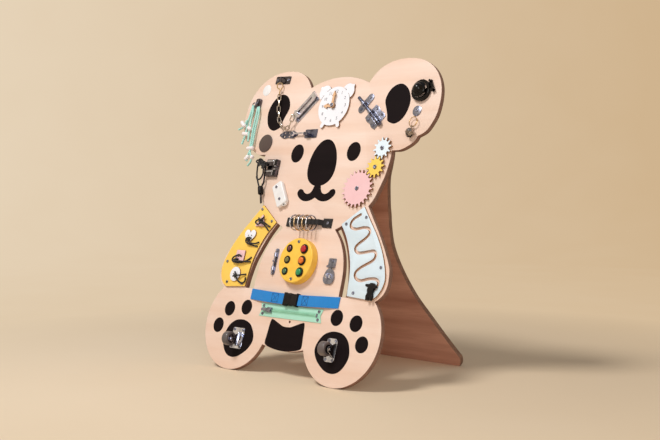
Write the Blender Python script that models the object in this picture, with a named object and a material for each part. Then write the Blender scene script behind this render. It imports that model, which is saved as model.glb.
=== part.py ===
# Koala-shaped busy board on its rear easel panel.
# Metres, +Z up, the viewer's side is -Y. The origin is under the middle of the standing board.
# Pieces on the board are placed in the board's own frame: x to the right, y up the board,
# z out of its front face.
import bmesh
import bpy
from math import acos, atan2, cos, pi, radians, sin, sqrt
from mathutils import Matrix, Vector

# Driving sizes
BOARD_HEIGHT = 0.6385
BOARD_HALF_WIDTH = 0.267
BOARD_THICKNESS = 0.010
BOARD_LEAN = radians(17.35)
FOOT_RADIUS = 0.0945
FOOT_FLAT = 0.0025
STAND_LEAN = radians(19.56)
STAND_THICKNESS = 0.010
STAND_FOOT_HALF_WIDTH = 0.177
HINGE_SHARE = 0.830

SEAT = 0.0003
RUN = 0.0005
OVERRUN = 0.004
ROOTED = 0.0015
PLATE_THICKNESS = 0.004
METAL_SHEET = 0.0015
SAME_POINT = 0.000001
LARGE_SIDES = 32
ROUND_SIDES = 18
SMALL_SIDES = 10
SCREW_SIDES = 8
CORD_STEP_SHARE = 2.9
WIRE_SIDES = 5

WOOD_FACE = (0.86, 0.66, 0.50)
WALNUT = (0.20, 0.085, 0.045)
BLACK = (0.018, 0.012, 0.013)
YELLOW = (0.92, 0.55, 0.10)
PALE_BLUE = (0.70, 0.76, 0.79)
PINK = (0.86, 0.55, 0.56)
WHITE = (0.86, 0.85, 0.86)
MINT = (0.38, 0.74, 0.52)
WEBBING_BLUE = (0.020, 0.23, 0.56)
CHROME = (0.72, 0.71, 0.70)
ZINC = (0.52, 0.52, 0.56)
GREY = (0.22, 0.20, 0.21)

ROOT = None
FRAME = None


def clear_scene():
    for item in list(bpy.data.objects):
        bpy.data.objects.remove(item, do_unlink=True)


def finish(name, colour, roughness, metallic=0.0):
    """A Principled material, made once for each name."""
    if name in bpy.data.materials:
        return bpy.data.materials[name]
    material = bpy.data.materials.new(name)
    material.use_nodes = True
    shader = material.node_tree.nodes["Principled BSDF"]
    shader.inputs["Base Color"].default_value = (*colour, 1.0)
    shader.inputs["Roughness"].default_value = roughness
    shader.inputs["Metallic"].default_value = metallic
    material.diffuse_color = (*colour, 1.0)
    return material


def birch():
    return finish("birch_plywood", WOOD_FACE, 0.6)


def walnut():
    return finish("stained_plywood", WALNUT, 0.55)


def chrome():
    return finish("chrome_plate", CHROME, 0.18, 1.0)


def zinc():
    return finish("zinc_plate", ZINC, 0.38, 1.0)


def black_plastic():
    return finish("black_plastic", BLACK, 0.35)


def white_plastic():
    return finish("white_plastic", WHITE, 0.4)


# Outlines

def on_board(share):
    """The board coordinates of a place given as shares of the board's half width and height."""
    return Vector((share[0] * BOARD_HALF_WIDTH, share[1] * BOARD_HEIGHT))


def placed(table):
    return [on_board(share) for share in table]


def smooth_run(points, steps):
    """A smooth curve through the points, with a number of steps for each span."""
    run = []
    for index in range(len(points) - 1):
        p1, p2 = points[index], points[index + 1]
        p0 = points[index - 1] if index > 0 else p1 * 2 - p2
        p3 = points[index + 2] if index + 2 < len(points) else p2 * 2 - p1
        for step in range(steps):
            t = step / steps
            a = p1 * 2
            b = (p2 - p0) * t
            c = (p0 * 2 - p1 * 5 + p2 * 4 - p3) * t ** 2
            d = (p1 * 3 - p0 - p2 * 3 + p3) * t ** 3
            run.append((a + b + c + d) / 2)
    run.append(points[-1].copy())
    return run


def joined(*runs):
    """Runs that follow each other as one open outline, without the shared corner points."""
    outline = []
    for run in runs:
        outline.extend(run[1:] if outline else run)
    return outline


def mirrored(points):
    """The outline across the board's middle line, turning the same way round."""
    return [Vector((-point.x, point.y)) for point in reversed(points)]


def both_halves(half):
    """A closed outline from a half that runs up the right side, middle line to middle line."""
    return half + mirrored(half)[1:-1]


def arc(centre, radius, start, end, steps):
    return [Vector((centre[0] + radius * cos(start + (end - start) * k / steps),
                    centre[1] + radius * sin(start + (end - start) * k / steps)))
            for k in range(steps + 1)]


def circle(centre, radius, steps):
    return arc(centre, radius, 0, 2 * pi, steps)[:-1]


def ellipse(centre, radius_x, radius_y, steps):
    return [Vector((centre[0] + radius_x * cos(2 * pi * k / steps),
                    centre[1] + radius_y * sin(2 * pi * k / steps))) for k in range(steps)]


def rounded(corners, radius, steps=4):
    """A closed outline with every corner turned into an arc of the radius."""
    outline = []
    count = len(corners)
    for index, corner in enumerate(corners):
        before = (corners[index - 1] - corner).normalized()
        after = (corners[(index + 1) % count] - corner).normalized()
        half = before.angle(after) / 2
        reach = radius / max(1e-6, abs(sin(half))) * cos(half)
        start = corner + before * reach
        end = corner + after * reach
        middle = corner + (before + after).normalized() * radius / max(1e-6, sin(half))
        a0 = atan2(start.y - middle.y, start.x - middle.x)
        a1 = atan2(end.y - middle.y, end.x - middle.x)
        turn = (a1 - a0 + pi) % (2 * pi) - pi
        outline.extend(arc(middle, radius, a0, a0 + turn, steps))
    return outline


def rectangle(centre, width, height):
    x, y = centre
    return [Vector((x - width / 2, y - height / 2)), Vector((x + width / 2, y - height / 2)),
            Vector((x + width / 2, y + height / 2)), Vector((x - width / 2, y + height / 2))]


def rounded_rectangle(centre, width, height, radius, steps=3):
    return rounded(rectangle(centre, width, height), radius, steps)


def slot_outline(start, end, radius, steps=6):
    """A straight slot with round ends between two points."""
    heading = atan2(end[1] - start[1], end[0] - start[0])
    return (arc(end, radius, heading - pi / 2, heading + pi / 2, steps)
            + arc(start, radius, heading + pi / 2, heading + 3 * pi / 2, steps))


def stroke(line, half_width, cap_steps=5):
    """The outline of a band of even width along a line, with round ends."""
    normals = []
    for index in range(len(line)):
        ahead = line[min(index + 1, len(line) - 1)] - line[max(index - 1, 0)]
        normals.append(Vector((-ahead.y, ahead.x)).normalized())
    left = [point + normal * half_width for point, normal in zip(line, normals)]
    right = [point - normal * half_width for point, normal in zip(line, normals)]
    end_turn = atan2(-normals[-1].y, -normals[-1].x)
    start_turn = atan2(normals[0].y, normals[0].x)
    end_cap = arc(line[-1], half_width, end_turn, end_turn + pi, cap_steps)[1:-1]
    start_cap = arc(line[0], half_width, start_turn, start_turn + pi, cap_steps)[1:-1]
    return right + end_cap + list(reversed(left)) + start_cap


# Solids

ALONG_X = Matrix(((0, 0, 1, 0), (1, 0, 0, 0), (0, 1, 0, 0), (0, 0, 0, 1)))
ALONG_Y = Matrix(((1, 0, 0, 0), (0, 0, 1, 0), (0, 1, 0, 0), (0, 0, 0, 1)))


def add_solid(bm, solid, place=None):
    """Adds one finished solid to a piece's mesh, put in its place."""
    bmesh.ops.recalc_face_normals(solid, faces=solid.faces)
    if place is not None:
        bmesh.ops.transform(solid, matrix=place, verts=solid.verts)
        if place.determinant() < 0:
            bmesh.ops.reverse_faces(solid, faces=solid.faces)
    mesh = bpy.data.meshes.new("solid")
    solid.to_mesh(mesh)
    solid.free()
    bm.from_mesh(mesh)
    bpy.data.meshes.remove(mesh)


def prism(bm, outline, low, high, place=None):
    """An outline extruded from one height to another."""
    solid = bmesh.new()
    face = solid.faces.new([solid.verts.new((point[0], point[1], low)) for point in outline])
    lifted = bmesh.ops.extrude_face_region(solid, geom=[face])["geom"]
    upper = [item for item in lifted if isinstance(item, bmesh.types.BMVert)]
    bmesh.ops.translate(solid, vec=(0, 0, high - low), verts=upper)
    add_solid(bm, solid, place)


def turned(bm, profile, segments, place=None, ring=False):
    """A profile of (radius, height) points spun about the Z axis; a ring's profile is closed."""
    solid = bmesh.new()
    verts = [solid.verts.new((radius, 0, height)) for radius, height in profile]
    pairs = list(zip(verts, verts[1:]))
    if ring:
        pairs.append((verts[-1], verts[0]))
    edges = [solid.edges.new(pair) for pair in pairs]
    bmesh.ops.spin(solid, geom=verts + edges, cent=(0, 0, 0), axis=(0, 0, 1),
                   angle=2 * pi, steps=segments, use_merge=True)
    bmesh.ops.remove_doubles(solid, verts=solid.verts, dist=SAME_POINT)
    on_axis = [edge for edge in solid.edges if edge.is_wire]
    bmesh.ops.delete(solid, geom=on_axis, context="EDGES")
    add_solid(bm, solid, place)


def rod(bm, start, end, radius, sides, tip=0.0):
    """A round bar between two points, with a small chamfer where a tip is given."""
    start, end = Vector(start), Vector(end)
    along = end - start
    length = along.length
    profile = [(0, 0), (radius - tip, 0), (radius, tip), (radius, length - tip),
               (radius - tip, length), (0, length)]
    if tip == 0:
        profile = [(0, 0), (radius, 0), (radius, length), (0, length)]
    turn = along.to_track_quat("Z", "Y").to_matrix().to_4x4()
    turned(bm, profile, sides, Matrix.Translation(start) @ turn)


def tube(bm, path, radius, sides, closed=True, place=None):
    """A round wire along a path, closed on itself or with flat ends."""
    solid = bmesh.new()
    path = [Vector(point) for point in path]
    count = len(path)
    side = None
    rings = []
    for index, point in enumerate(path):
        if closed:
            ahead = path[(index + 1) % count] - path[index - 1]
        else:
            ahead = path[min(index + 1, count - 1)] - path[max(index - 1, 0)]
        ahead.normalize()
        if side is None:
            side = ahead.orthogonal()
        side = (side - ahead * side.dot(ahead)).normalized()
        up = ahead.cross(side)
        rings.append([solid.verts.new(point + (side * cos(2 * pi * k / sides)
                                               + up * sin(2 * pi * k / sides)) * radius)
                      for k in range(sides)])
    spans = list(zip(rings, rings[1:]))
    if closed:
        first, last = rings[0], rings[-1]
        shift = min(range(sides), key=lambda k: (last[0].co - first[k].co).length)
        spans.append((last, first[shift:] + first[:shift]))
    for first, second in spans:
        for k in range(sides):
            solid.faces.new((first[k], first[(k + 1) % sides],
                             second[(k + 1) % sides], second[k]))
    if not closed:
        solid.faces.new(reversed(rings[0]))
        solid.faces.new(rings[-1])
    add_solid(bm, solid, place)


def ring_path(centre, radius, across, up, steps):
    """Points of a circle in the plane of two directions."""
    centre, across, up = Vector(centre), Vector(across).normalized(), Vector(up).normalized()
    return [centre + (across * cos(2 * pi * k / steps) + up * sin(2 * pi * k / steps)) * radius
            for k in range(steps)]


def link_path(centre, length, width, along, across, steps):
    """Points of a chain link: two half circles joined by straight sides."""
    centre, along, across = Vector(centre), Vector(along).normalized(), Vector(across).normalized()
    bend = width / 2
    straight = (length - width) / 2
    points = []
    for half in (0, 1):
        for k in range(steps + 1):
            turn = -pi / 2 + pi * k / steps + pi * half
            shift = straight if half == 0 else -straight
            points.append(centre + along * (bend * cos(turn) + shift) + across * bend * sin(turn))
    return points


def block(bm, low, high, place=None):
    low, high = Vector(low), Vector(high)
    outline = [Vector((low.x, low.y)), Vector((high.x, low.y)),
               Vector((high.x, high.y)), Vector((low.x, high.y))]
    prism(bm, outline, low.z, high.z, place)


def piece(name, bm, material, place=(0, 0, 0), turn=(0, 0, 0)):
    """One named object from the solids in the bmesh."""
    mesh = bpy.data.meshes.new(name)
    bm.to_mesh(mesh)
    bm.free()
    item = bpy.data.objects.new(name, mesh)
    bpy.context.scene.collection.objects.link(item)
    item.data.materials.append(material)
    item.parent = FRAME
    item.location = place
    item.rotation_euler = turn
    mesh.shade_smooth()
    mesh.set_sharp_from_angle(angle=radians(40))
    return item


def cutter(name, bm, place=(0, 0, 0), turn=(0, 0, 0)):
    item = piece(name, bm, birch(), place, turn)
    item.hide_render = True
    item.display_type = "WIRE"
    return item


def apply_boolean(item, other, operation="DIFFERENCE"):
    change = item.modifiers.new(operation.lower(), "BOOLEAN")
    change.operation = operation
    change.solver = "EXACT"
    change.object = other


def evenly(route, spacing):
    """Points of the smooth curve through a route, about the spacing apart."""
    line = smooth_run([Vector(point) for point in route], 12)
    lengths = [0.0]
    for first, second in zip(line, line[1:]):
        lengths.append(lengths[-1] + (second - first).length)
    count = max(2, round(lengths[-1] / spacing))
    points = []
    index = 0
    for k in range(count + 1):
        target = lengths[-1] * k / count
        while index < len(line) - 2 and lengths[index + 1] < target:
            index += 1
        part = (target - lengths[index]) / (lengths[index + 1] - lengths[index])
        points.append(line[index].lerp(line[index + 1], part))
    return points


def cord(name, route, radius, material):
    """A round cord through hand-chosen points, as a curve object in the board's frame."""
    curve = bpy.data.curves.new(name, "CURVE")
    curve.dimensions = "3D"
    curve.resolution_u = 1
    curve.render_resolution_u = 0
    curve.bevel_depth = radius
    curve.bevel_resolution = 2
    curve.use_fill_caps = True
    points = evenly(route, CORD_STEP_SHARE * 2 * radius)
    spline = curve.splines.new("POLY")
    spline.points.add(len(points) - 1)
    for target, point in zip(spline.points, points):
        target.co = (*point, 1)
    item = bpy.data.objects.new(name, curve)
    bpy.context.scene.collection.objects.link(item)
    item.data.materials.append(material)
    item.parent = FRAME
    return item


# Board

CROTCH_SHARES = ((0.000, 0.082), (0.112, 0.084), (0.208, 0.091))
FOOT_CENTRE_SHARES = (0.5405, 0.148)
FOOT_START_TURN = radians(202)
FOOT_END_TURN = radians(407.5)
ARM_OUTER_SHARES = (
    (0.816, 0.268), (0.846, 0.283), (0.861, 0.304), (0.861, 0.326), (0.843, 0.360),
    (0.768, 0.412), (0.693, 0.457), (0.610, 0.501), (0.543, 0.537))
HEAD_SIDE_SHARES = (
    (0.543, 0.537), (0.579, 0.558), (0.612, 0.594), (0.639, 0.630), (0.654, 0.669),
    (0.657, 0.689), (0.654, 0.708))
LOBE_SHARES = ((0.654, 0.708), (0.727, 0.709), (0.794, 0.720), (0.843, 0.735), (0.861, 0.749))
EAR_SHARES = (
    (0.861, 0.749), (0.925, 0.763), (0.966, 0.788), (0.991, 0.814), (1.000, 0.846),
    (0.996, 0.877), (0.978, 0.907), (0.940, 0.937), (0.884, 0.963), (0.805, 0.984),
    (0.712, 0.996), (0.599, 1.000), (0.494, 0.995), (0.404, 0.980), (0.345, 0.959),
    (0.300, 0.933))
HEAD_TOP_SHARES = ((0.300, 0.933), (0.210, 0.947), (0.105, 0.957), (0.000, 0.960))
BELLY_EDGE_SHARES = (
    (0.273, 0.462), (0.330, 0.437), (0.375, 0.410), (0.412, 0.376), (0.434, 0.337),
    (0.440, 0.298), (0.442, 0.262))
ARM_EDGE_SHARES = (
    (0.530, 0.262), (0.524, 0.298), (0.502, 0.345), (0.464, 0.385), (0.408, 0.432),
    (0.337, 0.476))
CORD_HOLE_SHARES = (0.019, 0.171)
CORD_HOLE_RADIUS = 0.0025
MIRROR_SHARES = (-0.678, 0.748)
MIRROR_RADIUS = 0.0195
MIRROR_THICKNESS = 0.002


def board_outline():
    foot = arc(on_board(FOOT_CENTRE_SHARES), FOOT_RADIUS, FOOT_START_TURN, FOOT_END_TURN, 15)
    arm_points = [foot[-1]] + placed(ARM_OUTER_SHARES)
    crotch_points = placed(CROTCH_SHARES[:2]) + [foot[0]]
    half = joined(
        smooth_run(crotch_points, 2),
        foot,
        smooth_run(arm_points, 1),
        smooth_run(placed(HEAD_SIDE_SHARES), 1),
        smooth_run(placed(LOBE_SHARES), 1),
        smooth_run(placed(EAR_SHARES), 1),
        smooth_run(placed(HEAD_TOP_SHARES), 2))
    return both_halves(half)


def arm_gap_outline():
    return placed(BELLY_EDGE_SHARES + ARM_EDGE_SHARES)


def make_board():
    bm = bmesh.new()
    prism(bm, board_outline(), -BOARD_THICKNESS, 0)
    board = piece("front_board", bm, birch())
    bm = bmesh.new()
    for outline in (arm_gap_outline(), mirrored(arm_gap_outline())):
        prism(bm, outline, -BOARD_THICKNESS - OVERRUN, OVERRUN)
    prism(bm, circle(on_board(CORD_HOLE_SHARES), CORD_HOLE_RADIUS, SMALL_SIDES),
          -BOARD_THICKNESS - OVERRUN, OVERRUN)
    apply_boolean(board, cutter("board_cuts", bm))
    bm = bmesh.new()
    add_pivot_screws(bm)
    add_lace_fittings(bm)
    apply_boolean(board, cutter("board_posts", bm), "UNION")
    return board


def make_mirror():
    bm = bmesh.new()
    edge = MIRROR_THICKNESS / 4
    turned(bm, [(0, SEAT), (MIRROR_RADIUS, SEAT), (MIRROR_RADIUS, MIRROR_THICKNESS - edge),
                (MIRROR_RADIUS - edge, MIRROR_THICKNESS), (0, MIRROR_THICKNESS)], ROUND_SIDES)
    piece("cheek_mirror", bm, finish("mirror_acrylic", (0.10, 0.085, 0.085), 0.08, 0.9),
          (*on_board(MIRROR_SHARES), 0))


# Rear easel panel, hinged behind the head

STAND_WAIST_HALF_WIDTH = 0.067
STAND_TOP_HALF_WIDTH = 0.128
STAND_SIDE_SHARES = (
    (0.000, 0.000), (0.090, 0.010), (0.125, 0.100), (0.310, 0.245), (0.560, 0.385), (0.820, 0.500))
STAND_WAIST_SHARES = (
    (0.000, 0.500), (0.050, 0.560), (0.200, 0.640), (0.520, 0.750), (0.860, 0.860), (1.000, 0.930))
STAND_FOOT_CORNER = 0.018
STAND_TOP_CORNER = 0.012
STAND_TAIL = 0.014
HINGE_BARREL_RADIUS = 0.0022
HINGE_LEAF = 0.0012
HINGE_LENGTH = 0.150
HINGE_DEPTH = 0.018
HINGE_MIDDLE = 0.050
PIN_OUT = HINGE_BARREL_RADIUS + SEAT
OPEN_ANGLE = BOARD_LEAN + STAND_LEAN


def pin_place():
    """The hinge pin's line, behind the board's back face."""
    return Vector((0, HINGE_SHARE * BOARD_HEIGHT, -BOARD_THICKNESS - PIN_OUT))


def board_drop():
    """How far the board frame's origin stands above the floor."""
    return BOARD_THICKNESS * sin(BOARD_LEAN) - FOOT_FLAT * cos(BOARD_LEAN)


def stand_length():
    """From the pin down the panel to the floor, as long as its lean and the pin's height ask."""
    pin = pin_place()
    height = board_drop() + pin.y * cos(BOARD_LEAN) + pin.z * sin(BOARD_LEAN)
    return height / cos(STAND_LEAN)


def stand_outline():
    """The panel seen square on, with the pin's line at height zero."""
    flare = STAND_FOOT_HALF_WIDTH - STAND_WAIST_HALF_WIDTH
    swell = STAND_TOP_HALF_WIDTH - STAND_WAIST_HALF_WIDTH
    length = stand_length()
    lower = [Vector((STAND_FOOT_HALF_WIDTH - flare * share, length * (rise - 1)))
             for share, rise in STAND_SIDE_SHARES[1:]]
    upper = [Vector((STAND_WAIST_HALF_WIDTH + swell * share, length * (rise - 1)))
             for share, rise in STAND_WAIST_SHARES]
    side = smooth_run(lower + upper, 2)
    corner_centre = (STAND_FOOT_HALF_WIDTH - STAND_FOOT_CORNER, STAND_FOOT_CORNER - length)
    corner = arc(corner_centre, STAND_FOOT_CORNER, -pi / 2, 0, 4)
    top_centre = (STAND_TOP_HALF_WIDTH - STAND_TOP_CORNER, STAND_TAIL - STAND_TOP_CORNER)
    top = arc(top_centre, STAND_TOP_CORNER, 0, pi / 2, 3)
    low = -length - OVERRUN
    half = ([Vector((0, low)), Vector((corner_centre[0], low))] + corner + side[2:] + top
            + [Vector((0, STAND_TAIL))])
    return both_halves(half)


def make_stand():
    bm = bmesh.new()
    prism(bm, stand_outline(), -PIN_OUT - STAND_THICKNESS, -PIN_OUT)
    stand = piece("rear_stand", bm, walnut(), pin_place(), (OPEN_ANGLE, 0, 0))
    bm = bmesh.new()
    reach = BOARD_HALF_WIDTH
    block(bm, (-reach, pin_place().y - reach / 4, -BOARD_THICKNESS - SEAT),
          (reach, pin_place().y + reach / 4, BOARD_THICKNESS))
    apply_boolean(stand, cutter("back_face_plane", bm))
    return stand


def rolled_leaf(inner, outer, depth):
    """The section of a hinge leaf rolled round its pin, in (y, z), with the leaf hanging down."""
    roll = arc((0, 0), outer, pi / 2 + radians(8), -pi + radians(30), 8)
    bore = arc((0, 0), inner, -pi + radians(30), pi / 2 + radians(8), 6)
    tail = [Vector((-depth, inner)), Vector((-depth, outer))]
    return roll + bore + tail


def pin_profile(radius, grip, half, middle):
    """A hinge pin, thicker where the outer knuckles hold it."""
    return [(0, -half), (grip, -half), (grip, -middle), (radius, -middle), (radius, middle),
            (grip, middle), (grip, half), (0, half)]


def make_hinges():
    """One wide butt hinge: a leaf on the board's back with the pin, and a leaf on the panel."""
    inner = HINGE_BARREL_RADIUS - HINGE_LEAF
    section = rolled_leaf(inner, HINGE_BARREL_RADIUS, HINGE_DEPTH)
    clear = HINGE_BARREL_RADIUS + RUN
    half = HINGE_LENGTH / 2
    middle = HINGE_MIDDLE / 2
    steel = finish("hinge_steel", ZINC, 0.4, 1.0)
    bm = bmesh.new()
    prism(bm, section, -half, half, ALONG_X)
    leaf = piece("hinge_board_leaf", bm, steel, pin_place())
    cuts = bmesh.new()
    block(cuts, (-middle, -clear, -clear), (middle, clear, clear))
    apply_boolean(leaf, cutter("board_leaf_notch", cuts, pin_place()))
    pin = bmesh.new()
    turned(pin, pin_profile(inner - SEAT, inner + HINGE_LEAF / 2, half, middle), SCREW_SIDES,
           ALONG_X)
    apply_boolean(leaf, cutter("hinge_pin", pin, pin_place()), "UNION")
    bm = bmesh.new()
    prism(bm, [Vector((point.x, -point.y)) for point in section], -half, half, ALONG_X)
    turn = (OPEN_ANGLE, 0, 0)
    leaf = piece("hinge_stand_leaf", bm, steel, pin_place(), turn)
    cuts = bmesh.new()
    for side in (-1, 1):
        low, high = sorted((side * (middle - SEAT), side * (half + OVERRUN)))
        block(cuts, (low, -clear, -clear), (high, clear, clear))
    apply_boolean(leaf, cutter("stand_leaf_notch", cuts, pin_place(), turn))


# Left ear: door chain, its bracket and its slotted plate

BRACKET_SHARES = (-0.640, 0.970)
BRACKET_LENGTH = 0.045
BRACKET_WIDTH = 0.017
BRACKET_TURN = radians(-3)
TRACK_FROM_CLOCK = (-0.0825, 0.0038)
TRACK_TURN = radians(45.5)
TRACK_LENGTH = 0.070
TRACK_WIDTH = 0.028
TRACK_HEIGHT = 0.0075
TRACK_BODY_LENGTH = 0.056
TRACK_BODY_WIDTH = 0.015
TRACK_SLOT_WIDTH = 0.0054
TRACK_SLOT_LENGTH = 0.046
SLIDER_NECK_RADIUS = 0.0022
SLIDER_HEAD_RADIUS = 0.0042
LINK_WIRE = 0.0011
LINK_WIDTH = 0.0098
LINK_COUNT = 11
LINK_TOUCH = 0.0018
BIG_LINK_WIDTH = 0.013
CHAIN_SHARES = (
    (0.046, 0.197, 0.0085), (0.059, 0.378, 0.0075), (0.100, 0.590, 0.0065),
    (0.167, 0.839, 0.0065), (0.248, 1.064, 0.0065), (0.363, 1.263, 0.0065),
    (0.511, 1.388, 0.0065), (0.666, 1.425, 0.0070), (0.801, 1.375, 0.0085),
    (0.868, 1.263, 0.0120), (0.942, 1.113, 0.0135))


def track_centre():
    return on_board(CLOCK_SHARES) + Vector(TRACK_FROM_CLOCK)


def track_frame():
    return (*track_centre(), 0), (0, 0, TRACK_TURN)


def slider_centre():
    """The slider's place at the lower end of the slot."""
    along = SLIDER_NECK_RADIUS + RUN - TRACK_SLOT_LENGTH / 2
    return track_centre() + Matrix.Rotation(TRACK_TURN, 2) @ Vector((along, 0))


def chain_route():
    """The links' line, hung between the bracket and the slider."""
    start = on_board(BRACKET_SHARES)
    span = slider_centre() - start
    return [(start.x + span.x * across, start.y + span.y * down, out)
            for across, down, out in CHAIN_SHARES]


def bracket_place():
    turn = Matrix.Rotation(BRACKET_TURN, 4, "Z")
    return Matrix.Translation((*on_board(BRACKET_SHARES), 0)) @ turn


def bracket_loop_half():
    return BRACKET_WIDTH * 0.32


def make_chain_plates():
    """The bracket with its loop, and the raised plate that the slider runs in."""
    bm = bmesh.new()
    prism(bm, rounded_rectangle((0, 0), BRACKET_LENGTH, BRACKET_WIDTH, BRACKET_WIDTH / 8),
          SEAT, METAL_SHEET, bracket_place())
    bracket = piece("chain_bracket", bm, chrome())
    arch = bmesh.new()
    loop_half = bracket_loop_half()
    path = [(0, -loop_half, METAL_SHEET / 2)]
    path += [(0, -loop_half * cos(pi * k / 6), METAL_SHEET + loop_half * (0.5 + sin(pi * k / 6)))
             for k in range(7)]
    path += [(0, loop_half, METAL_SHEET / 2)]
    tube(arch, path, LINK_WIRE * 1.3, WIRE_SIDES + 1, closed=False, place=bracket_place())
    apply_boolean(bracket, cutter("bracket_loop", arch), "UNION")
    body = TRACK_BODY_WIDTH / 2
    slope = METAL_SHEET / 2
    edge = TRACK_WIDTH / 2
    section = [Vector(point) for point in (
        (-edge, SEAT), (edge, SEAT), (edge, METAL_SHEET), (body, METAL_SHEET),
        (body - slope, TRACK_HEIGHT), (slope - body, TRACK_HEIGHT), (-body, METAL_SHEET),
        (-edge, METAL_SHEET))]
    spot, turn = track_frame()
    bm = bmesh.new()
    prism(bm, section, -TRACK_LENGTH / 2, TRACK_LENGTH / 2, ALONG_X)
    track = piece("chain_track", bm, chrome(), spot, turn)
    cuts = bmesh.new()
    inside = TRACK_BODY_LENGTH / 2
    wall = channel_half()
    block(cuts, (-inside, -wall, -OVERRUN), (inside, wall, TRACK_HEIGHT - METAL_SHEET))
    apply_boolean(track, cutter("track_channel", cuts, spot, turn))
    cuts = bmesh.new()
    end = TRACK_SLOT_LENGTH / 2
    radius = TRACK_SLOT_WIDTH / 2
    prism(cuts, slot_outline((radius - end, 0), (end, 0), radius, 4), METAL_SHEET,
          TRACK_HEIGHT + OVERRUN)
    apply_boolean(track, cutter("track_slot", cuts, spot, turn))


def channel_half():
    return TRACK_BODY_WIDTH / 2 - METAL_SHEET * 1.2


def make_slider():
    """The chain's button, which runs under the slotted plate."""
    bm = bmesh.new()
    flange = channel_half() - RUN
    low = 2 * RUN
    over = TRACK_HEIGHT + RUN
    link_room = 2 * LINK_WIRE + 6 * RUN
    turned(bm, [(0, low), (flange, low), (flange, low + METAL_SHEET),
                (SLIDER_NECK_RADIUS, low + METAL_SHEET), (SLIDER_NECK_RADIUS, over + link_room),
                (SLIDER_HEAD_RADIUS, over + link_room),
                (SLIDER_HEAD_RADIUS * 0.8, over + link_room + METAL_SHEET),
                (0, over + link_room + METAL_SHEET)], SMALL_SIDES)
    piece("chain_slider", bm, chrome(), (*slider_centre(), 0), track_frame()[1])


def make_chain():
    """Wire links from the bracket's loop to the slider, each joined to the next where they touch."""
    slider = Vector((*slider_centre(), TRACK_HEIGHT + 2 * RUN + LINK_WIRE))
    out = Vector((0, 0, 1))
    line = chain_route()
    length = sum(((Vector(b) - Vector(a)).length for a, b in zip(line, line[1:])))
    route = evenly(line, length / LINK_COUNT)
    links = [bmesh.new(), bmesh.new()]
    for index, (start, end) in enumerate(zip(route, route[1:])):
        along = (end - start).normalized()
        flat = out.cross(along).normalized()
        edge = along.cross(flat)
        tilt = radians(45) if index % 2 else radians(-45)
        reach = (end - start).length + LINK_TOUCH
        tube(links[index % 2], link_path((start + end) / 2, reach, LINK_WIDTH, along,
                                         flat * cos(tilt) + edge * sin(tilt), 3),
             LINK_WIRE, WIRE_SIDES)
    first = len(route) - 1
    level = (slider - route[-1]) * Vector((1, 1, 0))
    end = slider + level.normalized() * (SLIDER_NECK_RADIUS + LINK_WIRE + RUN)
    towards = (end - route[-1]).normalized()
    reach = (end - route[-1]).length + LINK_TOUCH
    tube(links[first % 2], link_path(route[-1] + towards * (reach / 2 - LINK_TOUCH / 2), reach,
                                     LINK_WIDTH, towards, out.cross(towards).normalized(), 3),
         LINK_WIRE, WIRE_SIDES)
    chain = piece("door_chain", links[0], chrome())
    apply_boolean(chain, cutter("other_links", links[1]), "UNION")
    inner = LINK_WIRE * 2.4 + RUN - bracket_loop_half()
    loop = bracket_place() @ Vector((0, inner, METAL_SHEET + bracket_loop_half() * 0.6))
    big = bmesh.new()
    along = (loop - route[0]).normalized()
    reach = (loop - route[0]).length + LINK_TOUCH
    tube(big, link_path((loop + route[0]) / 2, reach, BIG_LINK_WIDTH, along,
                        out.cross(along).normalized(), 4), LINK_WIRE * 1.1, WIRE_SIDES)
    apply_boolean(chain, cutter("first_link", big), "UNION")


# Head: ornamental hook latch

HOOK_BASE_SHARES = (-0.431, 0.774)
HOOK_BASE_LENGTH = 0.054
HOOK_BASE_WIDTH = 0.019
HOOK_PIVOT_X = 0.015
HOOK_HEIGHT = 0.0065
HOOK_ROD_RADIUS = 0.0019
HOOK_ROD_LENGTH = 0.050
HOOK_EYE_RADIUS = 0.0048
HOOK_POST_RADIUS = 0.0022
HOOK_HOLE_RADIUS = 0.0026
CATCH_PLATE_LENGTH = 0.034
CATCH_PLATE_WIDTH = 0.018
CATCH_WALL = 0.0025
CATCH_BACK = 0.0055
CATCH_LENGTH = 0.012


def hook_base_outline():
    """A pointed leaf, scalloped along both edges."""
    count = 24
    outline = []
    for k in range(count):
        turn = 2 * pi * k / count
        across = HOOK_BASE_WIDTH / 2 * sin(turn) * (0.86 + 0.14 * cos(6 * turn))
        outline.append(Vector((HOOK_BASE_LENGTH / 2 * cos(turn), across)))
    return outline


def hook_pivot():
    return on_board(HOOK_BASE_SHARES) + Vector((HOOK_PIVOT_X, 0))


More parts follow.
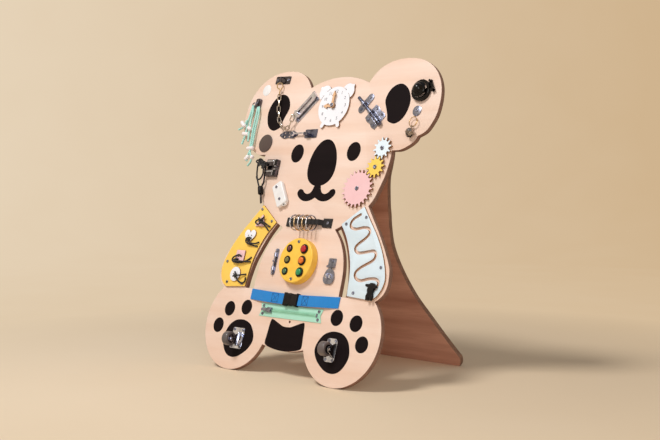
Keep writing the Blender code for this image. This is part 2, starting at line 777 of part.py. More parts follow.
def make_hook():
    spot = on_board(HOOK_BASE_SHARES)
    pivot = hook_pivot()
    bm = bmesh.new()
    prism(bm, hook_base_outline(), SEAT, METAL_SHEET, Matrix.Translation((*spot, 0)))
    base = piece("hook_base", bm, chrome())
    post = bmesh.new()
    under = HOOK_HEIGHT - HOOK_ROD_RADIUS - SEAT
    over = HOOK_HEIGHT + HOOK_ROD_RADIUS + SEAT
    turned(post, [(0, METAL_SHEET / 2), (HOOK_POST_RADIUS * 1.6, METAL_SHEET / 2),
                  (HOOK_POST_RADIUS * 1.6, under), (HOOK_POST_RADIUS, under),
                  (HOOK_POST_RADIUS, over), (HOOK_POST_RADIUS * 1.7, over),
                  (HOOK_POST_RADIUS * 1.2, over + METAL_SHEET), (0, over + METAL_SHEET)],
           SMALL_SIDES, Matrix.Translation((*pivot, 0)))
    apply_boolean(base, cutter("hook_post", post), "UNION")
    cuts = bmesh.new()
    for side in (-1, 1):
        for x in (-HOOK_BASE_LENGTH * 0.22, HOOK_BASE_LENGTH * 0.04):
            prism(cuts, circle((spot.x + x, spot.y + side * HOOK_BASE_WIDTH * 0.2),
                               HOOK_HOLE_RADIUS, SCREW_SIDES), -OVERRUN, METAL_SHEET + OVERRUN / 4)
    apply_boolean(base, cutter("hook_base_holes", cuts))
    catch_x = pivot.x + HOOK_ROD_LENGTH - CATCH_LENGTH / 2
    bm = bmesh.new()
    prism(bm, rounded_rectangle((catch_x + CATCH_LENGTH / 2, pivot.y), CATCH_PLATE_LENGTH,
                                CATCH_PLATE_WIDTH, METAL_SHEET), SEAT, METAL_SHEET)
    catch = piece("hook_catch", bm, chrome())
    inner = HOOK_ROD_RADIUS + SEAT
    floor = METAL_SHEET / 2
    section = [Vector(point) for point in (
        (-CATCH_BACK, floor), (-inner, floor), (-inner, over), (inner / 4, over),
        (inner / 4, over + CATCH_WALL), (-CATCH_BACK, over + CATCH_WALL))]
    claw = bmesh.new()
    prism(claw, section, -CATCH_LENGTH / 2, CATCH_LENGTH / 2,
          Matrix.Translation((catch_x, pivot.y, 0)) @ ALONG_X)
    apply_boolean(catch, cutter("catch_claw", claw), "UNION")
    half = HOOK_ROD_RADIUS
    place = (*pivot, HOOK_HEIGHT)
    bm = bmesh.new()
    prism(bm, circle((0, 0), HOOK_EYE_RADIUS, ROUND_SIDES - 4), -half, half)
    arm = piece("hook_arm", bm, chrome(), place)
    bar = bmesh.new()
    rod(bar, (HOOK_EYE_RADIUS * 0.8, 0, 0), (HOOK_ROD_LENGTH, 0, 0), half * 0.96, SCREW_SIDES,
        half / 3)
    apply_boolean(arm, cutter("hook_rod", bar, place), "UNION")
    hole = bmesh.new()
    prism(hole, circle((0, 0), HOOK_POST_RADIUS + SEAT, SMALL_SIDES), -OVERRUN, OVERRUN)
    apply_boolean(arm, cutter("hook_bore", hole, place))


# Head: alarm-clock plate with turning hands

CLOCK_SHARES = (0.000, 0.861)
CLOCK_RADIUS = 0.0415
CLOCK_BELL_RADIUS = 0.0165
CLOCK_BELL_TURN = radians(52)
CLOCK_BELL_REACH = 0.0430
CLOCK_FOOT_TURN = radians(-62)
CLOCK_FOOT_LENGTH = 0.010
CLOCK_FOOT_WIDTH = 0.009
CLOCK_KNOB_RADIUS = 0.0035
HAND_THICKNESS = 0.0025
MINUTE_HAND_LENGTH = 0.031
HOUR_HAND_LENGTH = 0.027
HAND_HUB_RADIUS = 0.0058
HAND_WIDTH = 0.0062
PIVOT_RADIUS = 0.0022
SCREW_RADIUS = 0.0034


def make_clock():
    spot = (*on_board(CLOCK_SHARES), 0)
    bm = bmesh.new()
    prism(bm, circle((0, 0), CLOCK_RADIUS, LARGE_SIDES), SEAT, PLATE_THICKNESS)
    plate = piece("clock_plate", bm, finish("clock_white", WHITE, 0.5), spot)
    extra = bmesh.new()
    for side in (-1, 1):
        turn = pi / 2 + side * CLOCK_BELL_TURN * 0.9
        ahead = Vector((cos(turn), sin(turn)))
        prism(extra, circle(ahead * CLOCK_BELL_REACH, CLOCK_BELL_RADIUS, ROUND_SIDES), SEAT,
              PLATE_THICKNESS)
        foot_turn = -pi / 2 - side * (pi / 2 + CLOCK_FOOT_TURN)
        foot = Vector((cos(foot_turn), sin(foot_turn)))
        end = foot * (CLOCK_RADIUS + CLOCK_FOOT_LENGTH - CLOCK_FOOT_WIDTH / 2)
        prism(extra, slot_outline(foot * (CLOCK_RADIUS - CLOCK_FOOT_LENGTH), end,
                                  CLOCK_FOOT_WIDTH / 2, 4), SEAT, PLATE_THICKNESS)
    apply_boolean(plate, cutter("clock_bells_and_feet", extra, spot), "UNION")
    knobs = bmesh.new()
    for side in (-1, 1):
        turn = pi / 2 + side * CLOCK_BELL_TURN * 0.9
        ahead = Vector((cos(turn), sin(turn)))
        reach = CLOCK_BELL_REACH + CLOCK_BELL_RADIUS
        prism(knobs, circle(ahead * reach, CLOCK_KNOB_RADIUS, SCREW_SIDES), SEAT,
              PLATE_THICKNESS)
    apply_boolean(plate, cutter("clock_knobs", knobs, spot), "UNION")
    gaps = bmesh.new()
    for side in (-1, 1):
        turn = pi / 2 + side * CLOCK_BELL_TURN * 0.9
        spread = CLOCK_BELL_RADIUS / CLOCK_RADIUS
        middle_gap = CLOCK_FOOT_WIDTH / CLOCK_RADIUS / 2
        for end in (-1, 1):
            arc_line = arc((0, 0), CLOCK_RADIUS + RUN, turn + end * middle_gap,
                           turn + end * spread * 1.3, 3)
            prism(gaps, stroke(arc_line, RUN, 1), -OVERRUN, PLATE_THICKNESS + OVERRUN)
    prism(gaps, circle((0, 0), PIVOT_RADIUS + SEAT, SMALL_SIDES), -OVERRUN,
          PLATE_THICKNESS + OVERRUN)
    apply_boolean(plate, cutter("clock_gaps", gaps, spot))
    low = PLATE_THICKNESS + SEAT
    for name, length, turn in (("hour_hand", HOUR_HAND_LENGTH, pi),
                               ("minute_hand", MINUTE_HAND_LENGTH, pi / 2)):
        bm = bmesh.new()
        prism(bm, hand_outline(length, name == "hour_hand"), 0, HAND_THICKNESS)
        hand = piece(name, bm, finish("hand_wood", WOOD_FACE, 0.6), (spot[0], spot[1], low),
                     (0, 0, turn))
        hole = bmesh.new()
        prism(hole, circle((0, 0), PIVOT_RADIUS + SEAT, SMALL_SIDES), -OVERRUN,
              HAND_THICKNESS + OVERRUN)
        apply_boolean(hand, cutter(name + "_bore", hole, (spot[0], spot[1], low), (0, 0, turn)))
        low += HAND_THICKNESS + SEAT


def hand_outline(length, arrow):
    """A hand pointing along +X from a round hub to an arrow head or a tapered tip."""
    hub = arc((0, 0), HAND_HUB_RADIUS, radians(32), radians(328), 9)
    tip_back = length * 0.62 if arrow else length * 0.70
    tip_half = HAND_WIDTH * (0.95 if arrow else 0.78)
    neck = HAND_WIDTH * 0.42
    lower = [Vector((tip_back, -neck)), Vector((tip_back - length * 0.06, -tip_half))]
    upper = [Vector((tip_back - length * 0.06, tip_half)), Vector((tip_back, neck))]
    return hub + lower + [Vector((length, 0))] + upper


# Face: three meshing gears on shoulder screws

GEAR_MODULE = 0.0032
GEAR_THICKNESS = 0.005
GEAR_PRESSURE = radians(20)
GEAR_BACKLASH = 0.0013
GEAR_ADDENDUM_SHARE = 0.80
GEAR_DEDENDUM_SHARE = 1.10
PINK_TEETH = 22
SMALL_TEETH = 12
PINK_GEAR_SHARES = (0.419, 0.589)
PINK_TO_YELLOW_TURN = radians(50.8)
YELLOW_TO_WHITE_TURN = radians(77.8)
GEAR_LIFT = 0.0006
SHOULDER_RADIUS = 0.0028


def involute(turn):
    return sin(turn) / cos(turn) - turn


def gear_outline(teeth):
    """Involute teeth; the first one points along +X."""
    pitch = GEAR_MODULE * teeth / 2
    base = pitch * cos(GEAR_PRESSURE)
    tip = pitch + GEAR_MODULE * GEAR_ADDENDUM_SHARE
    root = pitch - GEAR_MODULE * GEAR_DEDENDUM_SHARE
    half_tooth = (pi * GEAR_MODULE / 2 - GEAR_BACKLASH) / (2 * pitch)

    def half_angle(radius):
        steep = acos(min(1.0, base / max(radius, base)))
        return half_tooth + involute(GEAR_PRESSURE) - involute(steep)

    radii = [root, max(root, base, pitch - GEAR_MODULE / 4), tip]
    outline = []
    for tooth in range(teeth):
        middle = 2 * pi * tooth / teeth
        flank = [(radius, half_angle(radius)) for radius in radii]
        turns = [(radius, middle - angle) for radius, angle in flank]
        turns += [(radius, middle + angle) for radius, angle in reversed(flank)]
        outline.extend(Vector((radius * cos(turn), radius * sin(turn))) for radius, turn in turns)
    return outline


def gear_centres():
    pink = on_board(PINK_GEAR_SHARES)
    first = GEAR_MODULE * (PINK_TEETH + SMALL_TEETH) / 2
    second = GEAR_MODULE * SMALL_TEETH
    yellow = pink + Vector((cos(PINK_TO_YELLOW_TURN), sin(PINK_TO_YELLOW_TURN))) * first
    white = yellow + Vector((cos(YELLOW_TO_WHITE_TURN), sin(YELLOW_TO_WHITE_TURN))) * second
    return pink, yellow, white


def mesh_turn(own_teeth, towards, driver_turn, driver_teeth):
    """The turn that puts a tooth gap of this gear on the driver's tooth."""
    phase = (towards - driver_turn) / (2 * pi / driver_teeth)
    return towards + pi + (0.5 + phase) * 2 * pi / own_teeth


def make_gears():
    pink, yellow, white = gear_centres()
    yellow_turn = mesh_turn(SMALL_TEETH, PINK_TO_YELLOW_TURN, 0, PINK_TEETH)
    white_turn = mesh_turn(SMALL_TEETH, YELLOW_TO_WHITE_TURN, yellow_turn, SMALL_TEETH)
    gears = (("gear_pink", PINK_TEETH, pink, 0, PINK),
             ("gear_yellow", SMALL_TEETH, yellow, yellow_turn, YELLOW),
             ("gear_white", SMALL_TEETH, white, white_turn, WHITE))
    for name, teeth, spot, turn, colour in gears:
        bm = bmesh.new()
        prism(bm, gear_outline(teeth), 0, GEAR_THICKNESS)
        place = (*spot, GEAR_LIFT)
        gear = piece(name, bm, finish(name + "_paint", colour, 0.6), place, (0, 0, turn))
        hole = bmesh.new()
        prism(hole, circle((0, 0), SHOULDER_RADIUS + SEAT, SMALL_SIDES), -OVERRUN,
              GEAR_THICKNESS + OVERRUN)
        apply_boolean(gear, cutter(name + "_bore", hole, place, (0, 0, turn)))


def add_pivot_screws(bm):
    """Shoulder screws, driven into the board, that carry the gears and the clock's hands."""
    gear_top = GEAR_LIFT + GEAR_THICKNESS + SEAT
    hand_top = PLATE_THICKNESS + SEAT + 2 * (HAND_THICKNESS + SEAT)
    screws = [(spot, SHOULDER_RADIUS, gear_top) for spot in gear_centres()]
    screws.append((on_board(CLOCK_SHARES), PIVOT_RADIUS, hand_top))
    for spot, radius, top in screws:
        head = radius + SCREW_RADIUS / 2
        turned(bm, [(0, -ROOTED), (radius, -ROOTED), (radius, top), (head, top),
                    (head * 0.8, top + SCREW_RADIUS / 2), (0, top + SCREW_RADIUS / 2)],
               SMALL_SIDES, Matrix.Translation((*spot, 0)))


# Arms: a yellow plate and a pale blue plate, the blue one with a winding slot

ARM_PLATE_SHARES = (
    (0.521, 0.534), (0.337, 0.478), (0.419, 0.435), (0.479, 0.384), (0.513, 0.334),
    (0.530, 0.265), (0.745, 0.259), (0.798, 0.273), (0.835, 0.302), (0.835, 0.335),
    (0.779, 0.392), (0.697, 0.445), (0.607, 0.490))
WINDING_SHARES = (
    (0.502, 0.509), (0.449, 0.496), (0.427, 0.482), (0.438, 0.470), (0.487, 0.465),
    (0.554, 0.470), (0.603, 0.468), (0.622, 0.456), (0.599, 0.440), (0.536, 0.420),
    (0.517, 0.406), (0.554, 0.394), (0.629, 0.398), (0.693, 0.402), (0.719, 0.390),
    (0.697, 0.373), (0.603, 0.351), (0.564, 0.334), (0.581, 0.319), (0.629, 0.313),
    (0.697, 0.320), (0.764, 0.321), (0.792, 0.310), (0.775, 0.294), (0.738, 0.280))
WINDING_SLOT_WIDTH = 0.0056


def arm_plate_outline():
    corners = placed(ARM_PLATE_SHARES)
    return corners


def make_arm_plates():
    bm = bmesh.new()
    prism(bm, mirrored(arm_plate_outline()), SEAT, PLATE_THICKNESS)
    plate = piece("arm_plate_left", bm, finish("yellow_paint", YELLOW, 0.5))
    shapes, holes = lacing_shapes()
    apply_boolean(plate, cutter("lacing_shapes", shapes), "UNION")
    apply_boolean(plate, cutter("lacing_holes", holes))
    bm = bmesh.new()
    prism(bm, arm_plate_outline(), SEAT, PLATE_THICKNESS)
    plate = piece("arm_plate_right", bm, finish("pale_blue_paint", PALE_BLUE, 0.5))
    bm = bmesh.new()
    line = placed(WINDING_SHARES)
    prism(bm, stroke(line, WINDING_SLOT_WIDTH / 2, 3), -OVERRUN, PLATE_THICKNESS + OVERRUN)
    apply_boolean(plate, cutter("winding_slot", bm))


FIGURE_STEM_RADIUS = 0.0023
FIGURE_THICKNESS = 0.005
FIGURE_WIDTH = 0.027
FIGURE_HEIGHT = 0.032
FIGURE_STEM_SHARE = 0.50


def winding_end():
    """The lower end of the winding slot and its heading there."""
    line = placed(WINDING_SHARES)
    ahead = (line[-2] - line[-1]).normalized()
    return line[-1] + ahead * (WINDING_SLOT_WIDTH / 2), ahead


def make_figure():
    """A small walking figure with a wide hat, on a stem in the slot."""
    spot, _ = winding_end()
    width, height = FIGURE_WIDTH, FIGURE_HEIGHT
    low = PLATE_THICKNESS + RUN
    stem_y = FIGURE_STEM_SHARE * height
    outline = [Vector((x * width, y * height - stem_y)) for x, y in FIGURE_OUTLINE_SHARES]
    bm = bmesh.new()
    prism(bm, outline, low, low + FIGURE_THICKNESS)
    figure = piece("figure_slider", bm, finish("figure_black", BLACK, 0.4), (*spot, 0))
    stem = bmesh.new()
    rod(stem, (0, 0, RUN), (0, 0, low + FIGURE_THICKNESS / 2), FIGURE_STEM_RADIUS, SMALL_SIDES)
    apply_boolean(figure, cutter("figure_stem", stem, (*spot, 0)), "UNION")


FIGURE_OUTLINE_SHARES = (
    (-0.24, 0.00), (-0.06, 0.00), (-0.02, 0.20), (0.02, 0.20), (0.08, 0.00), (0.26, 0.00),
    (0.28, 0.26), (0.20, 0.42), (0.24, 0.56), (0.26, 0.70), (0.46, 0.76), (0.50, 0.86),
    (0.34, 0.90), (0.20, 1.00), (-0.04, 1.00), (-0.14, 0.93), (-0.44, 0.92), (-0.50, 0.84),
    (-0.40, 0.77), (-0.20, 0.74), (-0.26, 0.60), (-0.20, 0.42), (-0.28, 0.24))


# Lacing shapes on the left plate

SHAPE_THICKNESS = 0.003
SHAPE_HOLE_RADIUS = 0.0016
TRIANGLE_SHARES = ((-0.558, 0.462), (-0.446, 0.462), (-0.491, 0.503))
HEART_SHARES = (-0.588, 0.426)
HEART_WIDTH = 0.033
HEART_HEIGHT = 0.029
SQUARE_SHARES = (-0.648, 0.360)
SQUARE_SIDE = 0.026
DISC_SHARES = (-0.659, 0.301)
DISC_RADIUS = 0.0150
SHAPE_ROUND = 0.0015


def heart_outline():
    """A heart from the usual sine formula, scaled to its width and height."""
    outline = []
    for k in range(ROUND_SIDES):
        turn = 2 * pi * k / ROUND_SIDES
        across = sin(turn) ** 3
        rise = (13 * cos(turn) - 5 * cos(2 * turn) - 2 * cos(3 * turn) - cos(4 * turn) + 2.5) / 28
        outline.append(Vector((across * HEART_WIDTH / 2, rise * HEART_HEIGHT)))
    return [on_board(HEART_SHARES) + point for point in outline]


def lacing_shapes():
    """Four shapes glued on the plate, and the pairs of holes that their laces go through."""
    triangle = rounded(placed(TRIANGLE_SHARES), SHAPE_ROUND, 2)
    square = rounded_rectangle(on_board(SQUARE_SHARES), SQUARE_SIDE, SQUARE_SIDE, SHAPE_ROUND, 2)
    disc = circle(on_board(DISC_SHARES), DISC_RADIUS, ROUND_SIDES)
    shapes = bmesh.new()
    holes = bmesh.new()
    high = PLATE_THICKNESS + SHAPE_THICKNESS
    for outline in (triangle, square, disc, heart_outline()):
        prism(shapes, outline, PLATE_THICKNESS / 2, high)
        middle = sum(outline, Vector((0, 0))) / len(outline)
        for side in (-1, 1):
            prism(holes, circle((middle.x + side * 3 * SHAPE_HOLE_RADIUS, middle.y),
                                SHAPE_HOLE_RADIUS, SCREW_SIDES), PLATE_THICKNESS, high + OVERRUN)
    return shapes, holes


# Right of the head: barrel bolt with its keeper

BARREL_SHARES = (0.434, 0.816)
BARREL_TURN = radians(-40.2)
BARREL_LENGTH = 0.042
BARREL_WIDTH = 0.032
BARREL_ROD_RADIUS = 0.0034
BARREL_ROD_HEAD = -0.065
BARREL_ROD_TAIL = 0.0235
BARREL_KNOB_RADIUS = 0.0052
BARREL_ARCH_LENGTH = 0.009
BARREL_WALL = 0.0016
KEEPER_REACH = 0.043
KEEPER_WIDTH = 0.008
KEEPER_TAB_REACH = 0.0105
KEEPER_TAB_LENGTH = 0.0065
KEEPER_TAB_WIDTH = 0.0050


def bolt_height():
    return METAL_SHEET + SEAT + BARREL_ROD_RADIUS


def guide_arch(bm, low, high, bore, wall, centre, floor):
    """A round guide for a rod along X: two feet and a half ring, standing on the floor."""
    outer = arc((0, centre), bore + wall, 0, pi, 6)
    inner = arc((0, centre), bore, pi, 0, 6)
    section = ([Vector((bore + wall, floor))] + outer + [Vector((-bore - wall, floor)),
                                                         Vector((-bore, floor))]
               + inner + [Vector((bore, floor))])
    prism(bm, section, low, high, ALONG_X)


def bolt_frame(reach=0.0):
    """A place on the barrel bolt's axis, measured from the middle of its housing."""
    spot = on_board(BARREL_SHARES) + Matrix.Rotation(BARREL_TURN, 2) @ Vector((reach, 0))
    return (*spot, 0), (0, 0, BARREL_TURN)


def make_barrel_bolt():
    """The housing's plate and guides, the keeper, and the round bolt with its knob."""
    half = BARREL_LENGTH / 2
    bm = bmesh.new()
    prism(bm, rounded_rectangle((0, 0), BARREL_LENGTH, BARREL_WIDTH, METAL_SHEET), SEAT, METAL_SHEET)
    housing = piece("barrel_bolt_housing", bm, chrome(), *bolt_frame())
    bore = BARREL_ROD_RADIUS + SEAT
    arches = bmesh.new()
    for start in (-half, half - BARREL_ARCH_LENGTH):
        guide_arch(arches, start, start + BARREL_ARCH_LENGTH, bore, BARREL_WALL,
                   bolt_height(), METAL_SHEET - RUN)
    apply_boolean(housing, cutter("barrel_arches", arches, *bolt_frame()), "UNION")
    bm = bmesh.new()
    guide_arch(bm, -KEEPER_WIDTH / 2, KEEPER_WIDTH / 2, bore, BARREL_WALL, bolt_height(), SEAT)
    keeper = piece("barrel_bolt_keeper", bm, chrome(), *bolt_frame(-KEEPER_REACH))
    tabs = bmesh.new()
    for side in (-1, 1):
        prism(tabs, ellipse((0, side * KEEPER_TAB_REACH), KEEPER_TAB_WIDTH, KEEPER_TAB_LENGTH,
                            ROUND_SIDES - 4), SEAT, METAL_SHEET)
    apply_boolean(keeper, cutter("keeper_tabs", tabs, *bolt_frame(-KEEPER_REACH)), "UNION")
    bm = bmesh.new()
    radius = BARREL_ROD_RADIUS
    knob = BARREL_KNOB_RADIUS
    length = BARREL_ROD_TAIL - BARREL_ROD_HEAD
    profile = [(0, 0), (radius * 0.6, 0), (radius, radius / 2), (radius, length)]
    centre = length + knob
    profile += [(knob * sin(turn), centre - knob * cos(turn))
                for turn in (radians(50), radians(80), radians(110), radians(145))]
    profile += [(0, centre + knob)]
    turned(bm, profile, ROUND_SIDES - 6, ALONG_X)
    place, turn = bolt_frame(BARREL_ROD_HEAD)
    piece("barrel_bolt_rod", bm, chrome(), (place[0], place[1], bolt_height()), turn)


# Right ear: a domed bell with its striker lever, and a jingle bell on rings

BELL_SHARES = (0.824, 0.888)
BELL_RING_OUTER = 0.021
BELL_RING_INNER = 0.0155
BELL_RING_HEIGHT = 0.008
BELL_POST_RADIUS = 0.003
BELL_BAR_WIDTH = 0.007
BELL_DOME_RADIUS = 0.0145
BELL_DOME_WALL = 0.0012
BELL_DOME_LIFT = 0.0110
BELL_DOME_RISE = 0.0125
BELL_LEVER_TURN = radians(225)
BELL_LEVER_LENGTH = 0.022
BELL_LEVER_WIDTH = 0.007
BELL_LEVER_POST = 0.0022
JINGLE_TAB_SHARES = (0.813, 0.824)
JINGLE_TAB_RADIUS = 0.010
JINGLE_DROP = 0.0115
JINGLE_RING_RADIUS = 0.0095
JINGLE_RING_WIRE = 0.0010
JINGLE_EYE_RADIUS = 0.0030
JINGLE_BELL_RADIUS = 0.0085
JINGLE_ARCH_SPAN = 0.0035
JINGLE_RING_LIFT = 0.0052
JINGLE_SLIT = 0.0016


def lever_pivot():
    reach = BELL_RING_OUTER + BELL_LEVER_WIDTH / 2 + RUN
    return on_board(BELL_SHARES) + Vector((cos(BELL_LEVER_TURN), sin(BELL_LEVER_TURN))) * -reach


def make_bell():
    spot = (*on_board(BELL_SHARES), 0)
    low, high = SEAT, BELL_RING_HEIGHT
    edge = METAL_SHEET / 2
    bm = bmesh.new()
    turned(bm, [(BELL_RING_INNER, low), (BELL_RING_OUTER, low), (BELL_RING_OUTER, high - edge),
                (BELL_RING_OUTER - edge, high), (BELL_RING_INNER, high)], ROUND_SIDES, ring=True)
    bracket = piece("bell_bracket", bm, finish("bell_bracket_grey", GREY, 0.4, 0.6), spot)
    bar = bmesh.new()
    reach = (BELL_RING_INNER + BELL_RING_OUTER) / 2
    block(bar, (-reach, -BELL_BAR_WIDTH / 2, low), (reach, BELL_BAR_WIDTH / 2, high / 2))
    apply_boolean(bracket, cutter("bell_bar", bar, spot), "UNION")
    post = bmesh.new()
    crown = (BELL_DOME_RISE - BELL_DOME_WALL) * (1 - BELL_POST_RADIUS / BELL_DOME_RADIUS / 4)
    inside = BELL_DOME_LIFT + crown - SEAT
    rod(post, (0, 0, high / 4), (0, 0, inside), BELL_POST_RADIUS, SMALL_SIDES)
    apply_boolean(bracket, cutter("bell_post", post, spot), "UNION")
    lug = bmesh.new()
    pivot = lever_pivot() - on_board(BELL_SHARES)
    ahead = pivot.normalized()
    prism(lug, slot_outline(ahead * reach, pivot, BELL_LEVER_WIDTH / 2, 4), low, high / 4)
    apply_boolean(bracket, cutter("bell_lug", lug, spot), "UNION")
    pin = bmesh.new()
    rod(pin, (*pivot, high / 8), (*pivot, high), BELL_LEVER_POST, SMALL_SIDES)
    apply_boolean(bracket, cutter("bell_lever_pin", pin, spot), "UNION")
    bm = bmesh.new()
    steps = 4
    outer = [(BELL_DOME_RADIUS * cos(pi / 2 * k / steps), BELL_DOME_RISE * sin(pi / 2 * k / steps))
             for k in range(steps + 1)]
    wall = BELL_DOME_WALL
    inner = [((BELL_DOME_RADIUS - wall) * cos(pi / 2 * k / steps),
              (BELL_DOME_RISE - wall) * sin(pi / 2 * k / steps)) for k in range(steps + 1)]
    outer[-1] = (0, BELL_DOME_RISE)
    inner[-1] = (0, BELL_DOME_RISE - wall)
    turned(bm, outer + inner[::-1] + [outer[0]], ROUND_SIDES)
    dome = finish("bell_dome_black", BLACK, 0.12, 0.4)
    piece("bell_dome", bm, dome, (spot[0], spot[1], BELL_DOME_LIFT))
    bm = bmesh.new()
    width = BELL_LEVER_WIDTH / 2
    prism(bm, slot_outline((0, 0), (BELL_LEVER_LENGTH, 0), width * 0.9, 4), 0, METAL_SHEET)
    pivot = lever_pivot()
    place = (*pivot, high / 4 + RUN)
    turn = (0, 0, BELL_LEVER_TURN + radians(75))
    lever = piece("bell_lever", bm, chrome(), place, turn)
    pad = bmesh.new()
    block(pad, (BELL_LEVER_LENGTH - width, -width, METAL_SHEET / 2),
          (BELL_LEVER_LENGTH, width, high * 0.9))
    apply_boolean(lever, cutter("lever_pad", pad, place, turn), "UNION")
    hole = bmesh.new()
    prism(hole, circle((0, 0), BELL_LEVER_POST + SEAT, SMALL_SIDES), -OVERRUN,
          METAL_SHEET + OVERRUN)
    apply_boolean(lever, cutter("lever_bore", hole, place, turn))


def make_jingle():
    tab = on_board(JINGLE_TAB_SHARES)
    pivot = tab + Vector((0, -JINGLE_DROP))
    bm = bmesh.new()
    prism(bm, slot_outline(tab, pivot, JINGLE_TAB_RADIUS * 0.62, 5), SEAT, METAL_SHEET)
    plate = piece("jingle_tab", bm, chrome())
    arch = bmesh.new()
    span = JINGLE_ARCH_SPAN
    low = JINGLE_RING_LIFT + JINGLE_RING_WIRE * 1.8 + SEAT - span
    path = [(pivot.x, pivot.y - span, METAL_SHEET / 2)]
    path += [(pivot.x, pivot.y - span * cos(pi * k / 4), low + span * sin(pi * k / 4))
             for k in range(5)]
    path += [(pivot.x, pivot.y + span, METAL_SHEET / 2)]
    tube(arch, path, JINGLE_RING_WIRE * 0.8, WIRE_SIDES + 1, closed=False)
    apply_boolean(plate, cutter("jingle_arch", arch), "UNION")
    bm = bmesh.new()
    eye_drop = -2 * JINGLE_RING_RADIUS - JINGLE_EYE_RADIUS + 1.5 * JINGLE_RING_WIRE
    radius = JINGLE_BELL_RADIUS
    lift = max(0, radius + RUN - JINGLE_RING_LIFT)
    steps = 6
    middle = Vector((0, eye_drop - JINGLE_EYE_RADIUS - radius * 0.96, lift))
    profile = [(radius * sin(pi * k / steps), -radius * cos(pi * k / steps)) for k in range(steps + 1)]
    profile[0], profile[-1] = (0, -radius), (0, radius)
    turned(bm, profile, ROUND_SIDES - 6, Matrix.Translation(middle) @ ALONG_Y)
    bell = piece("jingle_bell", bm, chrome(), (*pivot, JINGLE_RING_LIFT))
    slit = bmesh.new()
    block(slit, middle + Vector((-radius, -radius - RUN, -JINGLE_SLIT / 2)),
          middle + Vector((radius, -radius * 0.2, JINGLE_SLIT / 2)))
    apply_boolean(bell, cutter("jingle_slit", slit, (*pivot, JINGLE_RING_LIFT)))
    eye = bmesh.new()
    eye_centre = Vector((0, eye_drop, 0))
    tube(eye, ring_path(eye_centre, JINGLE_EYE_RADIUS, (0, 1, 0), (0, 0, 1), SMALL_SIDES),
         JINGLE_RING_WIRE * 0.8, WIRE_SIDES)
    apply_boolean(bell, cutter("jingle_eye", eye, (*pivot, JINGLE_RING_LIFT)), "UNION")
    ring = bmesh.new()
    centre = Vector((0, -JINGLE_RING_RADIUS, 0))
    tube(ring, ring_path(centre, JINGLE_RING_RADIUS, (1, 0, 0), (0, 1, 0), ROUND_SIDES - 2),
         JINGLE_RING_WIRE, WIRE_SIDES)
    apply_boolean(bell, cutter("jingle_ring", ring, (*pivot, JINGLE_RING_LIFT)), "UNION")


# Face: roller catch case and white push catch

CATCH_CASE_SHARES = (-0.521, 0.659)
CASE_WIDTH = 0.033
CASE_HEIGHT = 0.036
CASE_DEPTH = 0.009
CASE_SLOT = 0.008
CASE_ROLLER_RADIUS = 0.0032
CASE_ROLLER_X = 0.011
PUSH_CATCH_SHARES = (-0.345, 0.573)
PUSH_CATCH_TURN = radians(-56.6)
PUSH_LENGTH = 0.054
PUSH_WIDTH = 0.020
PUSH_DEPTH = 0.010
PUSH_FLANGE_WIDTH = 0.010
PUSH_FLANGE_DEPTH = 0.0025
PUSH_TIP_LENGTH = 0.007
PUSH_TIP_WIDTH = 0.012


def make_catches():
    spot = (*on_board(CATCH_CASE_SHARES), 0)
    bm = bmesh.new()
    half_x, half_y = CASE_WIDTH / 2, CASE_HEIGHT / 2
    prism(bm, rounded_rectangle((0, 0), CASE_WIDTH, CASE_HEIGHT, METAL_SHEET), SEAT, CASE_DEPTH)
    case = piece("catch_case", bm, chrome(), spot)
    cuts = bmesh.new()
    block(cuts, (-half_x + METAL_SHEET * 2, -CASE_SLOT / 2, METAL_SHEET),
          (half_x + OVERRUN, CASE_SLOT / 2, CASE_DEPTH + OVERRUN))
    apply_boolean(case, cutter("case_slot", cuts, spot))
    rollers = bmesh.new()
    for side in (-1, 1):
        middle = (CASE_ROLLER_X, side * (CASE_SLOT / 2 + CASE_ROLLER_RADIUS * 0.45))
        prism(rollers, circle(middle, CASE_ROLLER_RADIUS, SMALL_SIDES), METAL_SHEET / 2,
              CASE_DEPTH - METAL_SHEET)
    apply_boolean(case, cutter("catch_rollers", rollers, spot), "UNION")
    bm = bmesh.new()
    spot = (*on_board(PUSH_CATCH_SHARES), 0)
    turn = (0, 0, PUSH_CATCH_TURN)
    prism(bm, rounded_rectangle((0, 0), PUSH_LENGTH, PUSH_WIDTH, PUSH_WIDTH / 8), SEAT, PUSH_DEPTH)
    body = piece("push_catch", bm, white_plastic(), spot, turn)
    extra = bmesh.new()
    edge = -PUSH_WIDTH / 2 - PUSH_FLANGE_WIDTH / 2
    prism(extra, rounded_rectangle((0, edge + RUN), PUSH_LENGTH * 0.8, PUSH_FLANGE_WIDTH + 4 * RUN,
                                   PUSH_FLANGE_WIDTH / 4), SEAT, PUSH_FLANGE_DEPTH)
    apply_boolean(body, cutter("push_flange", extra, spot, turn), "UNION")
    tip = bmesh.new()
    prism(tip, rounded_rectangle((PUSH_LENGTH / 2 + PUSH_TIP_LENGTH / 2 - RUN, 0),
                                 PUSH_TIP_LENGTH, PUSH_TIP_WIDTH, PUSH_TIP_WIDTH / 6),
          SEAT + METAL_SHEET, PUSH_DEPTH - METAL_SHEET)
    apply_boolean(body, cutter("push_tip", tip, spot, turn), "UNION")


# Belly: strap with five rings

STRAP_SHARES = (0.000, 0.481)
STRAP_LENGTH = 0.124
STRAP_END_WIDTH = 0.018
STRAP_WIDTH = 0.011
STRAP_THICKNESS = 0.002
STRAP_RISE = 0.008
STRAP_END_LENGTH = 0.022
STRAP_RAMP = 0.008
RING_COUNT = 5
RING_RADIUS = 0.0148
RING_WIRE = 0.0013
RING_PITCH = 0.011
RING_START = -0.022


